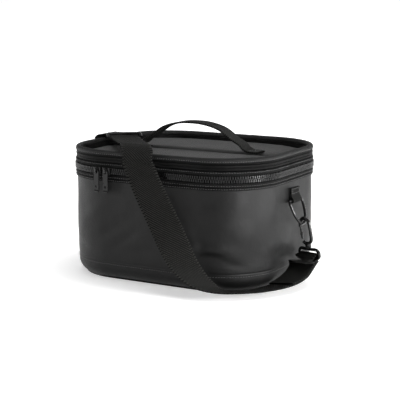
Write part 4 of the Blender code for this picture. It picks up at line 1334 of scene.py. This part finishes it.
def build_pull_tips():
    """A rounded metal bead across the lower end of each pull."""
    outwards = Vector((-math.sin(SLIDER_LEFT_ANGLE), -math.cos(SLIDER_LEFT_ANGLE), 0))
    places = {
        "left": (Vector((-CORNER_X, -CORNER_Y, 0)) + (CORNER_RADIUS + PULL_OFFSET) * outwards, outwards),
        "right": (Vector((SLIDER_RIGHT_X, -WIDTH / 2 - PULL_OFFSET, 0)), Vector((0, -1, 0))),
    }
    for name, (place, facing) in places.items():
        along = facing.cross(UP)
        low = place + PULL_TIP_HEIGHT * UP
        points = [low + along * reach for reach in (-0.0030, -0.0015, 0.0015, 0.0030)]
        bead = bent_wire("pull_bead_" + name, points, 0.0015, 4)
        dress(bead, "pull_" + name, "hardware")


def build_hardware():
    for name, side in (("left", -1), ("right", 1)):
        build_ring(name, side)
        build_hook(name, side)
        for node, width in (("zip_slider_" + name, 0.0004), ("zip_pull_" + name, 0.0005)):
            set_material(node, "metal")
            round_edges(node, width)
    build_adjuster()
    build_pull_tips()
    for node in ("wall_foam", "base_foam", "lid_foam"):
        set_material(node, "foam")
    set_material("base_board", "board")
    set_material("base_panel", "wall")


# ---------------------------------------------------------------- floor, light and camera


# The paper glows from FLOOR_GLOW within FLOOR_DULL of the bag to 1 beyond FLOOR_BRIGHT, as a lit sweep does.
FLOOR_DULL = 0.35
FLOOR_BRIGHT = 1.6
FLOOR_GLOW = 0.42


def build_floor():
    mesh = bpy.data.meshes.new("floor")
    builder = bmesh.new()
    bmesh.ops.create_grid(builder, x_segments=1, y_segments=1, size=60)
    builder.to_mesh(mesh)
    builder.free()
    paper = shading("floor_paper")
    away = paper.add("ShaderNodeVectorMath", {0: paper.places["Object"]}, "LENGTH").outputs["Value"]
    mesh.materials.append(paper.finish({
        "Base Color": (0.88, 0.88, 0.88, 1),
        "Roughness": 0.75,
        "Emission Color": (1, 1, 1, 1),
        "Emission Strength": paper.spread(away, FLOOR_DULL, FLOOR_BRIGHT, FLOOR_GLOW, 1.0),
    }))
    floor = bpy.data.objects.new("floor", mesh)
    bpy.context.scene.collection.objects.link(floor)
    floor.location.z = -0.0002


def area_light(name, place, target, size, power):
    data = bpy.data.lights.new(name, "AREA")
    data.shape = "RECTANGLE"
    data.size, data.size_y = size
    data.energy = power
    light = bpy.data.objects.new(name, data)
    bpy.context.scene.collection.objects.link(light)
    light.location = place
    light.rotation_euler = (Vector(target) - Vector(place)).to_track_quat("-Z", "Y").to_euler()


# A white sweep stands behind the floor, up to SWEEP_TOP above the horizon, and the room above it is dim.
SWEEP_STRENGTH = 1.02
ROOM_STRENGTH = 0.10
SWEEP_TOP = 0.14
LIGHTS = {
    "overhead": ((0.1, 0.35, 1.9), (0, 0, 0), (2.2, 1.6), 36),
    "right": ((1.80, -0.08, 0.34), (0.1, 0, 0.12), (0.55, 0.60), 66),
    "left_front": ((-1.7, -0.75, 0.50), (0, -0.1, 0.10), (0.40, 0.7), 15),
}


def build_lights():
    """A pale sweep and a dim room, a big light overhead, a softbox at the right and one at the left front."""
    sky = Shading(bpy.data.worlds.new("studio"))
    height = sky.add("ShaderNodeSeparateXYZ", {0: sky.places["Generated"]}).outputs["Z"]
    level = sky.spread(height, SWEEP_TOP, SWEEP_TOP + 0.15, SWEEP_STRENGTH, ROOM_STRENGTH)
    sky.feed(sky.nodes["Background"], {"Color": (1, 1, 1, 1), "Strength": level})
    bpy.context.scene.world = sky.owner
    for name, (place, target, size, power) in LIGHTS.items():
        area_light(name, place, target, size, power)
    bpy.context.scene.view_settings.view_transform = "Standard"


CAMERA_AZIMUTH = math.radians(29.48)
CAMERA_ELEVATION = math.radians(10.45)
CAMERA_DISTANCE = 1.59433
CAMERA_TARGET = Vector((0, 0, 0.090))


def build_camera():
    data = bpy.data.cameras.new("camera")
    data.lens = 101.9
    data.sensor_width = 36
    data.shift_x = 0.0126
    data.shift_y = 0.0101
    data.clip_end = 50
    camera = bpy.data.objects.new("camera", data)
    bpy.context.scene.collection.objects.link(camera)
    back = Vector((
        math.sin(CAMERA_AZIMUTH) * math.cos(CAMERA_ELEVATION),
        -math.cos(CAMERA_AZIMUTH) * math.cos(CAMERA_ELEVATION),
        math.sin(CAMERA_ELEVATION),
    ))
    camera.location = CAMERA_TARGET + CAMERA_DISTANCE * back
    camera.rotation_euler = Euler((math.pi / 2 - CAMERA_ELEVATION, 0, CAMERA_AZIMUTH))
    bpy.context.scene.camera = camera


build_wall()
build_wall_trim()
build_zip()
build_back_hinge()
build_lid_wall()
build_rim()
build_lid_top()
build_bag_lining()
build_lid_lining()
build_handle()
build_strap_front()
build_strap_top()
build_strap_left()
build_tab("left", -1)
build_tab("right", 1)
build_hardware()
build_floor()
build_lights()
build_camera()
